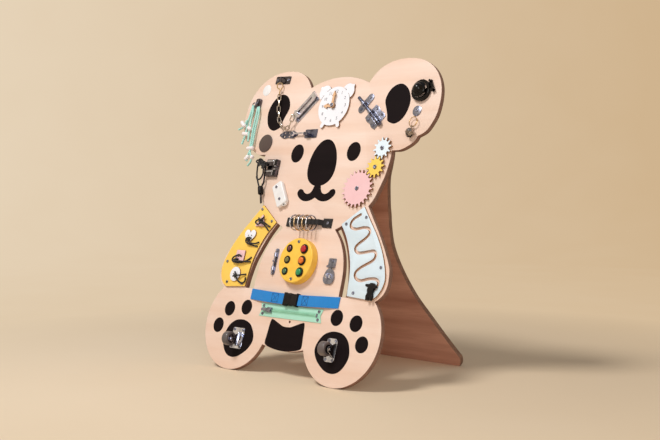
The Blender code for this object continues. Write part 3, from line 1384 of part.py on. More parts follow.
def make_strap():
    spot = (*on_board(STRAP_SHARES), 0)
    half = STRAP_LENGTH / 2
    end = half - STRAP_END_LENGTH
    low, high = SEAT, SEAT + STRAP_THICKNESS
    ramp = end - STRAP_RAMP
    section = [Vector(point) for point in (
        (-half, low), (-end, low), (-ramp, STRAP_RISE), (ramp, STRAP_RISE), (end, low),
        (half, low), (half, high), (end + STRAP_THICKNESS / 2, high),
        (ramp + STRAP_THICKNESS / 2, STRAP_RISE + STRAP_THICKNESS),
        (-ramp - STRAP_THICKNESS / 2, STRAP_RISE + STRAP_THICKNESS),
        (-end - STRAP_THICKNESS / 2, high), (-half, high))]
    bm = bmesh.new()
    prism(bm, section, -STRAP_END_WIDTH / 2, STRAP_END_WIDTH / 2, ALONG_Y)
    strap = piece("ring_strap", bm, finish("strap_black", BLACK, 0.6), spot)
    sides = bmesh.new()
    inner = STRAP_WIDTH / 2
    for side in (-1, 1):
        edge = side * STRAP_END_WIDTH
        block(sides, (-end, min(side * inner, edge), -OVERRUN / 2),
              (end, max(side * inner, edge), STRAP_RISE + 2 * OVERRUN))
    apply_boolean(strap, cutter("strap_sides", sides, spot))
    lift = RING_RADIUS + RING_WIRE + RUN
    clear = RING_RADIUS - RING_WIRE - SEAT
    drop = STRAP_WIDTH / 2 - sqrt(clear ** 2 - (lift - STRAP_RISE) ** 2)
    for k in range(RING_COUNT):
        bm = bmesh.new()
        tube(bm, ring_path((0, 0, 0), RING_RADIUS, (0, 1, 0), (0, 0, 1), ROUND_SIDES - 2),
             RING_WIRE, WIRE_SIDES - 1)
        piece("strap_ring_" + str(k + 1), bm, chrome(),
              (spot[0] + RING_START + k * RING_PITCH, spot[1] + drop, lift))


# Belly: round light panel with three lights and three push buttons

DRUM_SHARES = (0.000, 0.356)
DRUM_RADIUS = 0.045
DRUM_HEIGHT = 0.0164
DRUM_EDGE = 0.0012
LIGHT_X = -0.0215
BUTTON_X = 0.0195
ROW_PITCH = 0.0230
HOLDER_RADIUS = 0.0075
HOLDER_RISE = 0.002
LIGHT_RADIUS = 0.0040
BEZEL_RADIUS = 0.0095
BEZEL_RISE = 0.0030
CAP_RADIUS = 0.0065
CAP_RISE = 0.0065
BUTTON_BORE_DEPTH = 0.009
BUTTON_TRAVEL = 0.003


def row_places(x):
    return [on_board(DRUM_SHARES) + Vector((x, row * ROW_PITCH)) for row in (1, 0, -1)]


def make_drum():
    spot = (*on_board(DRUM_SHARES), 0)
    bm = bmesh.new()
    turned(bm, [(0, SEAT), (DRUM_RADIUS, SEAT), (DRUM_RADIUS, DRUM_HEIGHT - DRUM_EDGE),
                (DRUM_RADIUS - DRUM_EDGE, DRUM_HEIGHT), (0, DRUM_HEIGHT)], LARGE_SIDES)
    drum = piece("light_drum", bm, finish("drum_yellow", YELLOW, 0.5), spot)
    bosses = bmesh.new()
    low = DRUM_HEIGHT - ROOTED
    for place in row_places(BUTTON_X):
        turned(bosses, [(0, low), (BEZEL_RADIUS, low),
                        (BEZEL_RADIUS - BEZEL_RISE / 3, DRUM_HEIGHT + BEZEL_RISE),
                        (0, DRUM_HEIGHT + BEZEL_RISE)], ROUND_SIDES - 4,
               Matrix.Translation((*place, 0)))
    for place in row_places(LIGHT_X):
        turned(bosses, [(0, low), (HOLDER_RADIUS, low), (HOLDER_RADIUS, DRUM_HEIGHT + HOLDER_RISE / 2),
                        (LIGHT_RADIUS, DRUM_HEIGHT + HOLDER_RISE),
                        (LIGHT_RADIUS * 0.7, DRUM_HEIGHT + HOLDER_RISE + LIGHT_RADIUS / 2),
                        (0, DRUM_HEIGHT + HOLDER_RISE + LIGHT_RADIUS * 0.7)], SMALL_SIDES + 2,
               Matrix.Translation((*place, 0)))
    apply_boolean(drum, cutter("drum_bosses", bosses), "UNION")
    bores = bmesh.new()
    for place in row_places(BUTTON_X):
        prism(bores, circle(place, CAP_RADIUS + RUN, ROUND_SIDES - 4),
              DRUM_HEIGHT - BUTTON_BORE_DEPTH, DRUM_HEIGHT + BEZEL_RISE + OVERRUN)
    apply_boolean(drum, cutter("button_bores", bores))
    colours = ((0.72, 0.03, 0.02), (0.85, 0.22, 0.02), (0.04, 0.42, 0.10))
    for name, place, colour in zip(("button_red", "button_orange", "button_green"),
                                   row_places(BUTTON_X), colours):
        bm = bmesh.new()
        base = DRUM_HEIGHT - BUTTON_BORE_DEPTH + BUTTON_TRAVEL + RUN
        crown = DRUM_HEIGHT + CAP_RISE
        edge = CAP_RADIUS / 5
        turned(bm, [(0, base), (CAP_RADIUS, base), (CAP_RADIUS, crown - edge),
                    (CAP_RADIUS - edge, crown), (0, crown)], ROUND_SIDES - 4)
        piece(name, bm, finish(name, colour, 0.3), (*place, 0))


# Belly: slim bolt and hasp

SLIM_SHARES = (-0.268, 0.352)
SLIM_LENGTH = 0.054
SLIM_WIDTH = 0.010
SLIM_ROD_RADIUS = 0.0018
SLIM_GUIDE_LENGTH = 0.008
SLIM_GUIDE_REACH = 0.014
SLIM_ROD_LENGTH = 0.044
SLIM_KNOB_RADIUS = 0.0022
SLIM_KNOB_RISE = 0.005
HASP_SHARES = (0.318, 0.363)
HASP_PLATE_WIDTH = 0.019
HASP_PLATE_HEIGHT = 0.014
HASP_FLAP_WIDTH = 0.028
HASP_FLAP_HEIGHT = 0.034
HASP_PIN_RADIUS = 0.0010
HASP_KNUCKLE_RADIUS = 0.0023
HASP_KNUCKLE_LENGTH = 0.006
HASP_PIN_HEIGHT = 0.0030
HASP_SLOT_WIDTH = 0.007
HASP_SLOT_HEIGHT = 0.014
HASP_STAPLE_SPAN = 0.0044
HASP_STAPLE_RISE = 0.0118
HASP_STAPLE_WIRE = 0.0012


def make_slim_bolt():
    spot = (*on_board(SLIM_SHARES), 0)
    turn = (0, 0, pi / 2)
    bm = bmesh.new()
    prism(bm, rounded_rectangle((0, 0), SLIM_LENGTH, SLIM_WIDTH, SLIM_WIDTH / 3), SEAT, METAL_SHEET)
    plate = piece("slim_bolt_plate", bm, chrome(), spot, turn)
    bore = SLIM_ROD_RADIUS + SEAT
    height = METAL_SHEET + bore
    guides = bmesh.new()
    for reach in (-SLIM_GUIDE_REACH, SLIM_GUIDE_REACH):
        guide_arch(guides, reach - SLIM_GUIDE_LENGTH / 2, reach + SLIM_GUIDE_LENGTH / 2, bore,
                   METAL_SHEET * 0.7, height, METAL_SHEET - RUN)
    apply_boolean(plate, cutter("slim_guides", guides, spot, turn), "UNION")
    bm = bmesh.new()
    place = (spot[0], spot[1], height)
    start = -SLIM_LENGTH / 2
    rod(bm, (start, 0, 0), (start + SLIM_ROD_LENGTH, 0, 0), SLIM_ROD_RADIUS, SMALL_SIDES,
        SLIM_ROD_RADIUS / 3)
    bolt = piece("slim_bolt_rod", bm, chrome(), place, turn)
    knob = bmesh.new()
    rod(knob, (0, 0, 0), (0, 0, SLIM_KNOB_RISE), SLIM_KNOB_RADIUS * 0.7, SMALL_SIDES, RUN)
    apply_boolean(bolt, cutter("slim_knob", knob, place, turn), "UNION")


def hasp_pin_y():
    return on_board(HASP_SHARES).y - HASP_PLATE_HEIGHT / 2 - HASP_KNUCKLE_RADIUS


def make_hasp():
    spot = on_board(HASP_SHARES)
    pin_y = hasp_pin_y()
    bm = bmesh.new()
    prism(bm, rounded_rectangle(spot, HASP_PLATE_WIDTH, HASP_PLATE_HEIGHT, METAL_SHEET),
          SEAT, METAL_SHEET)
    plate = piece("hasp_plate", bm, zinc())
    place = (spot.x, pin_y, HASP_PIN_HEIGHT)
    half = HASP_PLATE_WIDTH / 2
    middle = HASP_KNUCKLE_LENGTH / 2
    inner = HASP_PIN_RADIUS + SEAT
    outer = HASP_KNUCKLE_RADIUS
    eyes = bmesh.new()
    base = SEAT - HASP_PIN_HEIGHT
    top = METAL_SHEET - HASP_PIN_HEIGHT
    hole = circle((0, 0), inner, SCREW_SIDES)
    for start, end in ((-half, -middle - SEAT), (middle + SEAT, half)):
        prism(eyes, circle((0, 0), outer, SMALL_SIDES), start, end, ALONG_X)
    apply_boolean(plate, cutter("hasp_eyes", eyes, place), "UNION")
    webs = bmesh.new()
    for start, end in ((-half, -middle - SEAT), (middle + SEAT, half)):
        block(webs, (start, 0, base), (end, HASP_KNUCKLE_RADIUS + METAL_SHEET, top))
    apply_boolean(plate, cutter("hasp_webs", webs, place), "UNION")
    pin = bmesh.new()
    turned(pin, pin_profile(HASP_PIN_RADIUS, inner + SEAT, half, middle + SEAT), SCREW_SIDES,
           ALONG_X)
    apply_boolean(plate, cutter("hasp_pin", pin, place), "UNION")
    bm = bmesh.new()
    width, height = HASP_FLAP_WIDTH, HASP_FLAP_HEIGHT
    outline = [Vector((x * width, -y * height)) for x, y in HASP_FLAP_SHARES]
    outline = outline + [Vector((-point.x, point.y)) for point in reversed(outline)]
    lift = METAL_SHEET + SEAT - HASP_PIN_HEIGHT
    prism(bm, outline, lift, lift + METAL_SHEET)
    flap = piece("hasp_flap", bm, zinc(), place)
    eye = bmesh.new()
    prism(eye, circle((0, 0), outer, SMALL_SIDES), -middle, middle, ALONG_X)
    apply_boolean(flap, cutter("flap_eye", eye, place), "UNION")
    cuts = bmesh.new()
    prism(cuts, hole, -middle - OVERRUN, middle + OVERRUN, ALONG_X)
    slot_y = -height * HASP_SLOT_SHARE
    half_slot = (HASP_SLOT_HEIGHT - HASP_SLOT_WIDTH) / 2
    prism(cuts, slot_outline((0, slot_y - half_slot), (0, slot_y + half_slot), HASP_SLOT_WIDTH / 2, 4),
          lift - OVERRUN / 4, lift + OVERRUN)
    apply_boolean(flap, cutter("flap_cuts", cuts, place))


def make_staple():
    """The staple that comes through the hasp's slot, on its own small plate."""
    spot = (on_board(HASP_SHARES).x, hasp_pin_y() - HASP_FLAP_HEIGHT * HASP_SLOT_SHARE, 0)
    span = HASP_STAPLE_SPAN
    floor = METAL_SHEET / 2
    path = [(0, -span, floor)]
    path += [(0, -span * cos(pi * k / 6), HASP_STAPLE_RISE + span * (sin(pi * k / 6) - 1))
             for k in range(7)]
    path += [(0, span, floor)]
    bm = bmesh.new()
    prism(bm, rounded_rectangle((0, 0), HASP_SLOT_WIDTH - 4 * RUN, HASP_SLOT_HEIGHT - 2 * RUN,
                                METAL_SHEET), SEAT, METAL_SHEET)
    staple = piece("hasp_staple", bm, zinc(), spot)
    loop = bmesh.new()
    tube(loop, path, HASP_STAPLE_WIRE, WIRE_SIDES + 1, closed=False)
    apply_boolean(staple, cutter("staple_loop", loop, spot), "UNION")


HASP_SLOT_SHARE = 0.56
HASP_FLAP_SHARES = (
    (0.10, 0.02), (0.10, 0.12), (0.26, 0.18), (0.38, 0.32), (0.46, 0.50), (0.50, 0.66),
    (0.46, 0.82), (0.34, 0.94), (0.18, 1.00), (0.04, 0.99))


# Belt and buckle

BELT_SHARES = (0.011, 0.244)
BELT_HALF_LENGTH = 0.1215
BELT_WIDTH = 0.0215
BELT_THICKNESS = 0.0016
BELT_BOW = 0.0045
BELT_LIFT = 0.0052
BUCKLE_LENGTH = 0.037
BUCKLE_WIDTH = 0.026
BUCKLE_DEPTH = 0.009
BUCKLE_SPLIT = 0.020
BUCKLE_WALL = 0.0022
PRONG_LENGTH = 0.013
PRONG_WIDTH = 0.0035
PRONG_BEND = 0.003


def belt_height(across):
    """How far the webbing's underside stands off the board, from end to buckle."""
    share = max(0.0, min(1.0, (BELT_HALF_LENGTH - abs(across)) / (BELT_HALF_LENGTH * 0.4)))
    return SEAT + BELT_LIFT * share * share * (3 - 2 * share)


def belt_band(bm, start, end, steps):
    rows = []
    for k in range(steps + 1):
        x = start + (end - start) * k / steps
        share = (BELT_HALF_LENGTH - abs(x)) / BELT_HALF_LENGTH
        y = -BELT_BOW * (1 - (1 - share) ** 2)
        low = belt_height(x)
        rows.append([bm.verts.new((x, y + side * BELT_WIDTH / 2, low + rise))
                     for side, rise in ((-1, 0), (1, 0), (1, BELT_THICKNESS), (-1, BELT_THICKNESS))])
    for first, second in zip(rows, rows[1:]):
        for k in range(4):
            bm.faces.new((first[k], first[(k + 1) % 4], second[(k + 1) % 4], second[k]))
    bm.faces.new(rows[0])
    bm.faces.new(rows[-1])
    bmesh.ops.recalc_face_normals(bm, faces=bm.faces)


def make_belt():
    spot = (*on_board(BELT_SHARES), 0)
    edge = BUCKLE_LENGTH / 2 + SEAT
    for name, start, end in (("belt_left", -BELT_HALF_LENGTH, -edge),
                             ("belt_right", edge, BELT_HALF_LENGTH)):
        bm = bmesh.new()
        belt_band(bm, start, end, 8)
        piece(name, bm, finish("blue_webbing", WEBBING_BLUE, 0.8), spot)
    low = SEAT + BELT_LIFT + BELT_THICKNESS / 2 - BUCKLE_DEPTH / 2
    low = max(low, RUN)
    high = low + BUCKLE_DEPTH
    half = BUCKLE_LENGTH / 2
    split = half - BUCKLE_LENGTH + BUCKLE_SPLIT
    middle = -BELT_BOW
    width = BUCKLE_WIDTH / 2
    bm = bmesh.new()
    socket_middle = (-half + split) / 2
    prism(bm, rounded_rectangle((socket_middle, middle), split + half, BUCKLE_WIDTH,
                                BUCKLE_WIDTH / 8, 4), low, high)
    socket = piece("buckle_socket", bm, black_plastic(), spot)
    cuts = bmesh.new()
    wall = BUCKLE_WALL
    block(cuts, (-half + 2 * wall, middle - width + wall, low + wall),
          (split + OVERRUN, middle + width - wall, high - wall))
    apply_boolean(socket, cutter("socket_hollow", cuts, spot))
    windows = bmesh.new()
    window = (split - PRONG_LENGTH * 0.55 - RUN, split - PRONG_LENGTH * 0.05)
    for side in (-1, 1):
        edge_y = middle + side * width
        block(windows, (window[0], min(edge_y - side * 2 * wall, edge_y + side * wall), low + wall),
              (window[1], max(edge_y - side * 2 * wall, edge_y + side * wall), high - wall))
    apply_boolean(socket, cutter("socket_windows", windows, spot))
    bm = bmesh.new()
    start = split + SEAT
    prism(bm, rounded_rectangle(((start + half) / 2, middle), half - start, BUCKLE_WIDTH,
                                BUCKLE_WIDTH / 10, 4), low, high)
    plug = piece("buckle_plug", bm, black_plastic(), spot)
    prongs = bmesh.new()
    slack = wall + RUN
    for side in (-1, 1):
        outer = width - slack
        root = outer - PRONG_WIDTH
        outline = [Vector((start + RUN, side * (root - PRONG_BEND / 2))),
                   Vector((start + RUN, side * (outer - PRONG_BEND / 2))),
                   Vector((start - PRONG_LENGTH * 0.3, side * outer)),
                   Vector((start - PRONG_LENGTH * 0.8, side * outer)),
                   Vector((start - PRONG_LENGTH, side * (outer - PRONG_BEND))),
                   Vector((start - PRONG_LENGTH * 0.8, side * root))]
        outline = [point + Vector((0, middle)) for point in outline]
        prism(prongs, outline, low + slack, high - slack)
    block(prongs, (start - PRONG_LENGTH, middle - PRONG_WIDTH / 3, low + slack),
          (start + RUN, middle + PRONG_WIDTH / 3, high - slack))
    apply_boolean(plug, cutter("plug_prongs", prongs, spot), "UNION")


# Zip

ZIP_SHARES = (0.009, 0.199)
ZIP_HALF_LENGTH = 0.086
ZIP_WIDTH = 0.0262
ZIP_TAPE = 0.001
ZIP_NOTCH = 0.005
ZIP_TEETH_WIDTH = 0.0052
ZIP_TEETH_RISE = 0.0022
ZIP_STOP_LENGTH = 0.0034
ZIP_START = -0.0625
ZIP_STOP = 0.0700
ZIP_SLIDER_LENGTH = 0.0115
ZIP_SLIDER_WIDTH = 0.0100
ZIP_SLIDER_WALL = 0.0010
ZIP_PULL_LENGTH = 0.020
ZIP_PULL_WIDTH = 0.0060


def make_zip():
    spot = (*on_board(ZIP_SHARES), 0)
    half, width = ZIP_HALF_LENGTH, ZIP_WIDTH / 2
    low, high = SEAT, SEAT + ZIP_TAPE
    outline = [Vector(point) for point in (
        (-half, -width), (half, -width), (half - ZIP_NOTCH, 0), (half, width), (-half, width),
        (-half + ZIP_NOTCH, 0))]
    bm = bmesh.new()
    prism(bm, outline, low, high)
    tape = piece("zip_tape", bm, finish("zip_yellow", YELLOW, 0.8), spot)
    ridge = bmesh.new()
    top = high + ZIP_TEETH_RISE
    prism(ridge, rectangle(((ZIP_START + ZIP_STOP) / 2, 0), ZIP_STOP - ZIP_START, ZIP_TEETH_WIDTH),
          low + ZIP_TAPE / 2, top)
    for x in (ZIP_START - ZIP_STOP_LENGTH, ZIP_STOP + ZIP_STOP_LENGTH):
        prism(ridge, rectangle((x, 0), ZIP_STOP_LENGTH, ZIP_TEETH_WIDTH * 1.5),
              low + ZIP_TAPE / 2, top)
    apply_boolean(tape, cutter("zip_ridge", ridge, spot), "UNION")
    bm = bmesh.new()
    length, side = ZIP_SLIDER_LENGTH, ZIP_SLIDER_WIDTH
    top += RUN
    cap = top + ZIP_SLIDER_WALL
    lip = high + RUN
    inside = ZIP_TEETH_WIDTH / 2 + RUN
    section = [Vector(point) for point in (
        (-side / 2, lip), (-inside, lip), (-inside, top), (inside, top), (inside, lip),
        (side / 2, lip), (side / 2, cap), (-side / 2, cap))]
    prism(bm, section, -length / 2, length / 2, ALONG_X)
    place = (spot[0] + ZIP_START + length / 2 + RUN, spot[1], 0)
    slider = piece("zip_slider", bm, zinc(), place)
    bridge = bmesh.new()
    rise = ZIP_SLIDER_WALL * 2
    block(bridge, (-length * 0.35, -ZIP_SLIDER_WALL, cap - RUN / 2),
          (length * 0.35, ZIP_SLIDER_WALL, cap + rise))
    apply_boolean(slider, cutter("slider_bridge", bridge, place), "UNION")
    bm = bmesh.new()
    pull_low = cap + rise - ZIP_SLIDER_WALL / 2
    prism(bm, slot_outline((length * 0.2, 0), (length * 0.2 - ZIP_PULL_LENGTH, 0),
                           ZIP_PULL_WIDTH / 2, 6), pull_low, pull_low + ZIP_SLIDER_WALL)
    apply_boolean(slider, cutter("slider_pull", bm, place), "UNION")


# Feet: a swivelling caster and a fixed one

LEFT_CASTER_SHARES = (-0.491, 0.100)
LEFT_PLATE_WIDTH = 0.034
LEFT_PLATE_HEIGHT = 0.042
RIGHT_CASTER_SHARES = (0.479, 0.105)
RIGHT_PLATE_WIDTH = 0.026
RIGHT_PLATE_HEIGHT = 0.044
SWIVEL_RADIUS = 0.013
SWIVEL_RISE = 0.0045
FORK_WALL = 0.0018
LEFT_WHEEL_RADIUS = 0.014
LEFT_WHEEL_WIDTH = 0.015
LEFT_WHEEL_DROP = 0.005
RIGHT_WHEEL_RADIUS = 0.0135
RIGHT_WHEEL_WIDTH = 0.0165
RIGHT_WHEEL_GAP = 0.0020
AXLE_RADIUS = 0.0022
AXLE_HEAD = 0.0040


def fork(bm, inside, radius, base, axle, drop):
    """Two cheeks either side of a wheel, in the frame of the plate's middle."""
    cheek = [Vector((radius * 0.7, base)), Vector((radius * 0.2 - drop, axle + AXLE_HEAD * 1.2)),
             Vector((-radius * 0.3 - drop, axle + AXLE_HEAD * 1.2)),
             Vector((-radius * 0.75 - drop, base))]
    for start in (inside, -inside - FORK_WALL):
        prism(bm, cheek, start, start + FORK_WALL, ALONG_X)


def wheel(name, material, radius, width, place):
    bm = bmesh.new()
    edge = width / 6
    turned(bm, [(0, -width / 2), (radius - edge, -width / 2), (radius, edge - width / 2),
                (radius, width / 2 - edge), (radius - edge, width / 2), (0, width / 2)],
           ROUND_SIDES + 2, ALONG_X)
    item = piece(name, bm, material, place)
    bore = bmesh.new()
    prism(bore, circle((0, 0), AXLE_RADIUS + SEAT, SMALL_SIDES), -width, width, ALONG_X)
    apply_boolean(item, cutter(name + "_bore", bore, place))


def axle(bm, half, place):
    """A riveted axle along X with a head at each end."""
    head = AXLE_RADIUS / 2
    turned(bm, [(0, -half - head), (AXLE_HEAD, -half - head), (AXLE_HEAD, -half),
                (AXLE_RADIUS, -half), (AXLE_RADIUS, half), (AXLE_HEAD, half),
                (AXLE_HEAD, half + head), (0, half + head)], SMALL_SIDES,
           Matrix.Translation(place) @ ALONG_X)


def left_axle():
    """The swivel caster's axle, seen from its plate's middle."""
    base = METAL_SHEET + SWIVEL_RISE + SEAT
    return Vector((0, -LEFT_WHEEL_DROP, base + FORK_WALL + RUN + LEFT_WHEEL_RADIUS))


def right_axle():
    return Vector((0, 0, METAL_SHEET + RIGHT_WHEEL_GAP + RIGHT_WHEEL_RADIUS))


def make_casters():
    left = (*on_board(LEFT_CASTER_SHARES), 0)
    right = (*on_board(RIGHT_CASTER_SHARES), 0)
    bm = bmesh.new()
    prism(bm, rounded_rectangle((0, 0), LEFT_PLATE_WIDTH, LEFT_PLATE_HEIGHT, METAL_SHEET * 2),
          SEAT, METAL_SHEET)
    plate = piece("caster_plate_left", bm, zinc(), left)
    disc = bmesh.new()
    turned(disc, [(0, METAL_SHEET / 2), (SWIVEL_RADIUS, METAL_SHEET / 2),
                  (SWIVEL_RADIUS * 0.9, METAL_SHEET + SWIVEL_RISE),
                  (0, METAL_SHEET + SWIVEL_RISE)], ROUND_SIDES)
    apply_boolean(plate, cutter("swivel_disc", disc, left), "UNION")
    base = METAL_SHEET + SWIVEL_RISE + SEAT
    centre = left_axle()
    inside = LEFT_WHEEL_WIDTH / 2 + RUN
    bm = bmesh.new()
    turned(bm, [(0, base), (SWIVEL_RADIUS, base), (SWIVEL_RADIUS, base + FORK_WALL),
                (0, base + FORK_WALL)], ROUND_SIDES)
    carrier = piece("caster_fork", bm, zinc(), left)
    cheeks = bmesh.new()
    fork(cheeks, inside, LEFT_WHEEL_RADIUS, base + FORK_WALL / 2, centre.z, LEFT_WHEEL_DROP)
    apply_boolean(carrier, cutter("left_cheeks", cheeks, left), "UNION")
    axles = bmesh.new()
    axle(axles, inside + FORK_WALL, centre)
    apply_boolean(carrier, cutter("left_axle", axles, left), "UNION")
    wheel("caster_wheel_left", finish("wheel_grey", (0.30, 0.29, 0.30), 0.6), LEFT_WHEEL_RADIUS,
          LEFT_WHEEL_WIDTH, Vector(left) + centre)
    bm = bmesh.new()
    prism(bm, rounded_rectangle((0, 0), RIGHT_PLATE_WIDTH, RIGHT_PLATE_HEIGHT, METAL_SHEET * 2),
          SEAT, METAL_SHEET)
    plate = piece("caster_plate_right", bm, finish("caster_black", BLACK, 0.4), right)
    centre = right_axle()
    inside = RIGHT_WHEEL_WIDTH / 2 + RUN
    cheeks = bmesh.new()
    fork(cheeks, inside, RIGHT_WHEEL_RADIUS, METAL_SHEET / 2, centre.z, 0)
    apply_boolean(plate, cutter("right_cheeks", cheeks, right), "UNION")
    axles = bmesh.new()
    axle(axles, inside + FORK_WALL, centre)
    apply_boolean(plate, cutter("right_axle", axles, right), "UNION")
    wheel("caster_wheel_right", finish("wheel_white", (0.62, 0.60, 0.60), 0.5),
          RIGHT_WHEEL_RADIUS, RIGHT_WHEEL_WIDTH, Vector(right) + centre)


# Cords: the mint lace and the lanyard with its strike

LACE_RADIUS = 0.0014
MINT_RADIUS = 0.0016
EYELET_SHARES = (-0.929, 0.891)
EYELET_RADIUS = 0.0052
HOOK_BLOCK_SHARES = (-0.865, 0.891)
HOOK_BLOCK_WIDTH = 0.014
HOOK_BLOCK_HEIGHT = 0.022
HOOK_BLOCK_DEPTH = 0.006

MINT_LACE_ROUTE = (
    (-0.2310, 0.5800, 0.0085), (-0.2360, 0.5660, 0.0095), (-0.2350, 0.5500, 0.0080),
    (-0.2300, 0.5300, 0.0070), (-0.2240, 0.5050, 0.0070), (-0.2220, 0.4700, 0.0070),
    (-0.2215, 0.4300, 0.0070))
LANYARD_ROUTE = (
    (-0.1530, 0.4300, 0.0107), (-0.1640, 0.4345, 0.0105), (-0.1780, 0.4370, 0.0070),
    (-0.1850, 0.4290, 0.0050), (-0.1840, 0.4160, 0.0050), (-0.1790, 0.4010, 0.0055),
    (-0.1710, 0.3890, 0.0065), (-0.1650, 0.3835, 0.0070), (-0.1602, 0.3782, 0.0070))
KEY_SHARES = (-0.599, 0.592)
KEY_TURN = radians(-49)
KEY_BARREL_RADIUS = 0.0065
KEY_BARREL_LENGTH = 0.021
KEY_BLADE_LENGTH = 0.024
KEY_BLADE_WIDTH = 0.007
KEY_BLADE_THICKNESS = 0.0022


def make_cords():
    mint = finish("lace_mint", MINT, 0.8)
    cord("mint_lace", MINT_LACE_ROUTE, MINT_RADIUS, mint)
    cord("key_lanyard", LANYARD_ROUTE, LACE_RADIUS, finish("lace_black", BLACK, 0.8))


def make_key():
    """The strike that hangs from the lanyard: a round barrel with a flat blade."""
    spot = (*on_board(KEY_SHARES), KEY_BARREL_RADIUS + RUN)
    turn = (0, 0, KEY_TURN)
    bm = bmesh.new()
    rod(bm, (0, 0, 0), (KEY_BARREL_LENGTH, 0, 0), KEY_BARREL_RADIUS, ROUND_SIDES - 4,
        KEY_BARREL_RADIUS / 5)
    key = piece("strike_key", bm, black_plastic(), spot, turn)
    blade = bmesh.new()
    block(blade, (KEY_BARREL_LENGTH - METAL_SHEET, -KEY_BLADE_WIDTH / 2, -KEY_BLADE_THICKNESS / 2),
          (KEY_BARREL_LENGTH + KEY_BLADE_LENGTH, KEY_BLADE_WIDTH / 2, KEY_BLADE_THICKNESS / 2))
    apply_boolean(key, cutter("key_blade", blade, spot, turn), "UNION")


def add_lace_fittings(bm):
    """The lacing hook's block and the eyelet, set into the board."""
    prism(bm, rounded_rectangle(on_board(HOOK_BLOCK_SHARES), HOOK_BLOCK_WIDTH, HOOK_BLOCK_HEIGHT,
                                HOOK_BLOCK_WIDTH / 4), -ROOTED, HOOK_BLOCK_DEPTH)
    prism(bm, circle(on_board(EYELET_SHARES), EYELET_RADIUS, ROUND_SIDES - 6), -ROOTED,
          METAL_SHEET)


def cut_at_floor(items):
    """Cuts the feet off flat where the part stands."""
    bm = bmesh.new()
    reach = BOARD_HEIGHT
    block(bm, (-reach, -reach, -reach), (reach, reach, 0))
    floor = cutter("floor_plane", bm)
    floor.parent = ROOT
    for item in items:
        apply_boolean(item, floor)


def centre_part():
    """Moves the root so that the standing part is centred over the origin."""
    bpy.context.view_layer.update()
    graph = bpy.context.evaluated_depsgraph_get()
    corners = []
    for item in bpy.data.objects:
        if item.type != "MESH" or item.hide_render:
            continue
        mesh = item.evaluated_get(graph).to_mesh()
        corners.extend(item.matrix_world @ vert.co for vert in mesh.vertices)
        item.evaluated_get(graph).to_mesh_clear()
    for axis in (0, 1):
        low = min(corner[axis] for corner in corners)
        high = max(corner[axis] for corner in corners)
        ROOT.location[axis] = -(low + high) / 2
    bpy.context.view_layer.update()


def main():
    global ROOT, FRAME
    clear_scene()
    ROOT = bpy.data.objects.new("busy_board", None)
    FRAME = bpy.data.objects.new("board_frame", None)
    for empty in (ROOT, FRAME):
        bpy.context.scene.collection.objects.link(empty)
    FRAME.parent = ROOT
    FRAME.location = (0, 0, board_drop())
    FRAME.rotation_euler = (pi / 2 - BOARD_LEAN, 0, 0)
    board = make_board()
    make_mirror()
    stand = make_stand()
    make_hinges()
    make_chain_plates()
    make_slider()
    make_chain()
    make_hook()
    make_clock()
    make_gears()
    make_arm_plates()
    make_figure()
    make_barrel_bolt()
    make_bell()
    make_jingle()
    make_catches()
    make_strap()
    make_drum()
    make_slim_bolt()
    make_hasp()
    make_staple()
    make_belt()
    make_zip()
    make_casters()
    make_cords()
    make_key()
    cut_at_floor((board, stand))
    centre_part()


main()
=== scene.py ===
# Dresses an animal-shaped busy board on a folding stand for a soft studio picture.
from math import atan2, cos, hypot, pi, radians, sin

import bmesh
import bpy
from mathutils import Matrix, Vector


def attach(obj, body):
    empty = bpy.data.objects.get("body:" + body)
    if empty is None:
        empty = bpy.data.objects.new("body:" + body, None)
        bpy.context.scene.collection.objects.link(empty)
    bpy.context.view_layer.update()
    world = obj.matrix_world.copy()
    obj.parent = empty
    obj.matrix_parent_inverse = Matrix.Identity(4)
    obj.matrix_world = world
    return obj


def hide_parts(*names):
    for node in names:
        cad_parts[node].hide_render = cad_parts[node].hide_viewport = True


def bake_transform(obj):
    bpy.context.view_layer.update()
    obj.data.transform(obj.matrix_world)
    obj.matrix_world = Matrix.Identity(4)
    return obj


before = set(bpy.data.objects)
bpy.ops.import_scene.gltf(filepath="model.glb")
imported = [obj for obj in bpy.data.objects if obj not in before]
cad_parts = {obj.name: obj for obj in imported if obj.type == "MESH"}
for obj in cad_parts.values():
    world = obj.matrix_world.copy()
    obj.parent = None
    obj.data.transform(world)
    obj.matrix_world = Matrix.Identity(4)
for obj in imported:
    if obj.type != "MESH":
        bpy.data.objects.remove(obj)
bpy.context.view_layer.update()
print("frame loaded,", len(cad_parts), "solids")

# The board's own frame: x to the right, y up the board, z out of its face.
boardTurn, boardSpot = radians(72.65), (0, -0.171838, 0.000596)
boardPlace = Matrix.Translation(boardSpot) @ Matrix.Rotation(boardTurn, 4, "X")
standTurn, hingeSpot = radians(109.56), (0, 0.52996, -0.0125)
standSpot = boardPlace @ Vector(hingeSpot)
standPlace = Matrix.Translation(standSpot) @ Matrix.Rotation(standTurn, 4, "X")
halfWidth, boardHeight = 0.267, 0.6385
seat, softEdge = 0.0003, 0.0004  # the gap under a fitting, and the round of its edges
lying = Matrix.Rotation(pi / 2, 4, "Y")  # lays along x what a lathe makes along z


def placed(table):  # from thousandths of the half width and of the height
    return [Vector((x / 1000 * halfWidth, y / 1000 * boardHeight)) for x, y in table]


def onBoard(pair):
    return placed([pair])[0]


def at(x, y, rise=0.0, turn=0.0):
    return Matrix.Translation((x, y, rise)) @ Matrix.Rotation(turn, 4, "Z")


def mirrored(points):
    return [Vector((-point.x, point.y)) for point in reversed(points)]


def flipped(points):
    return [(x, -y) for x, y in reversed(points)]


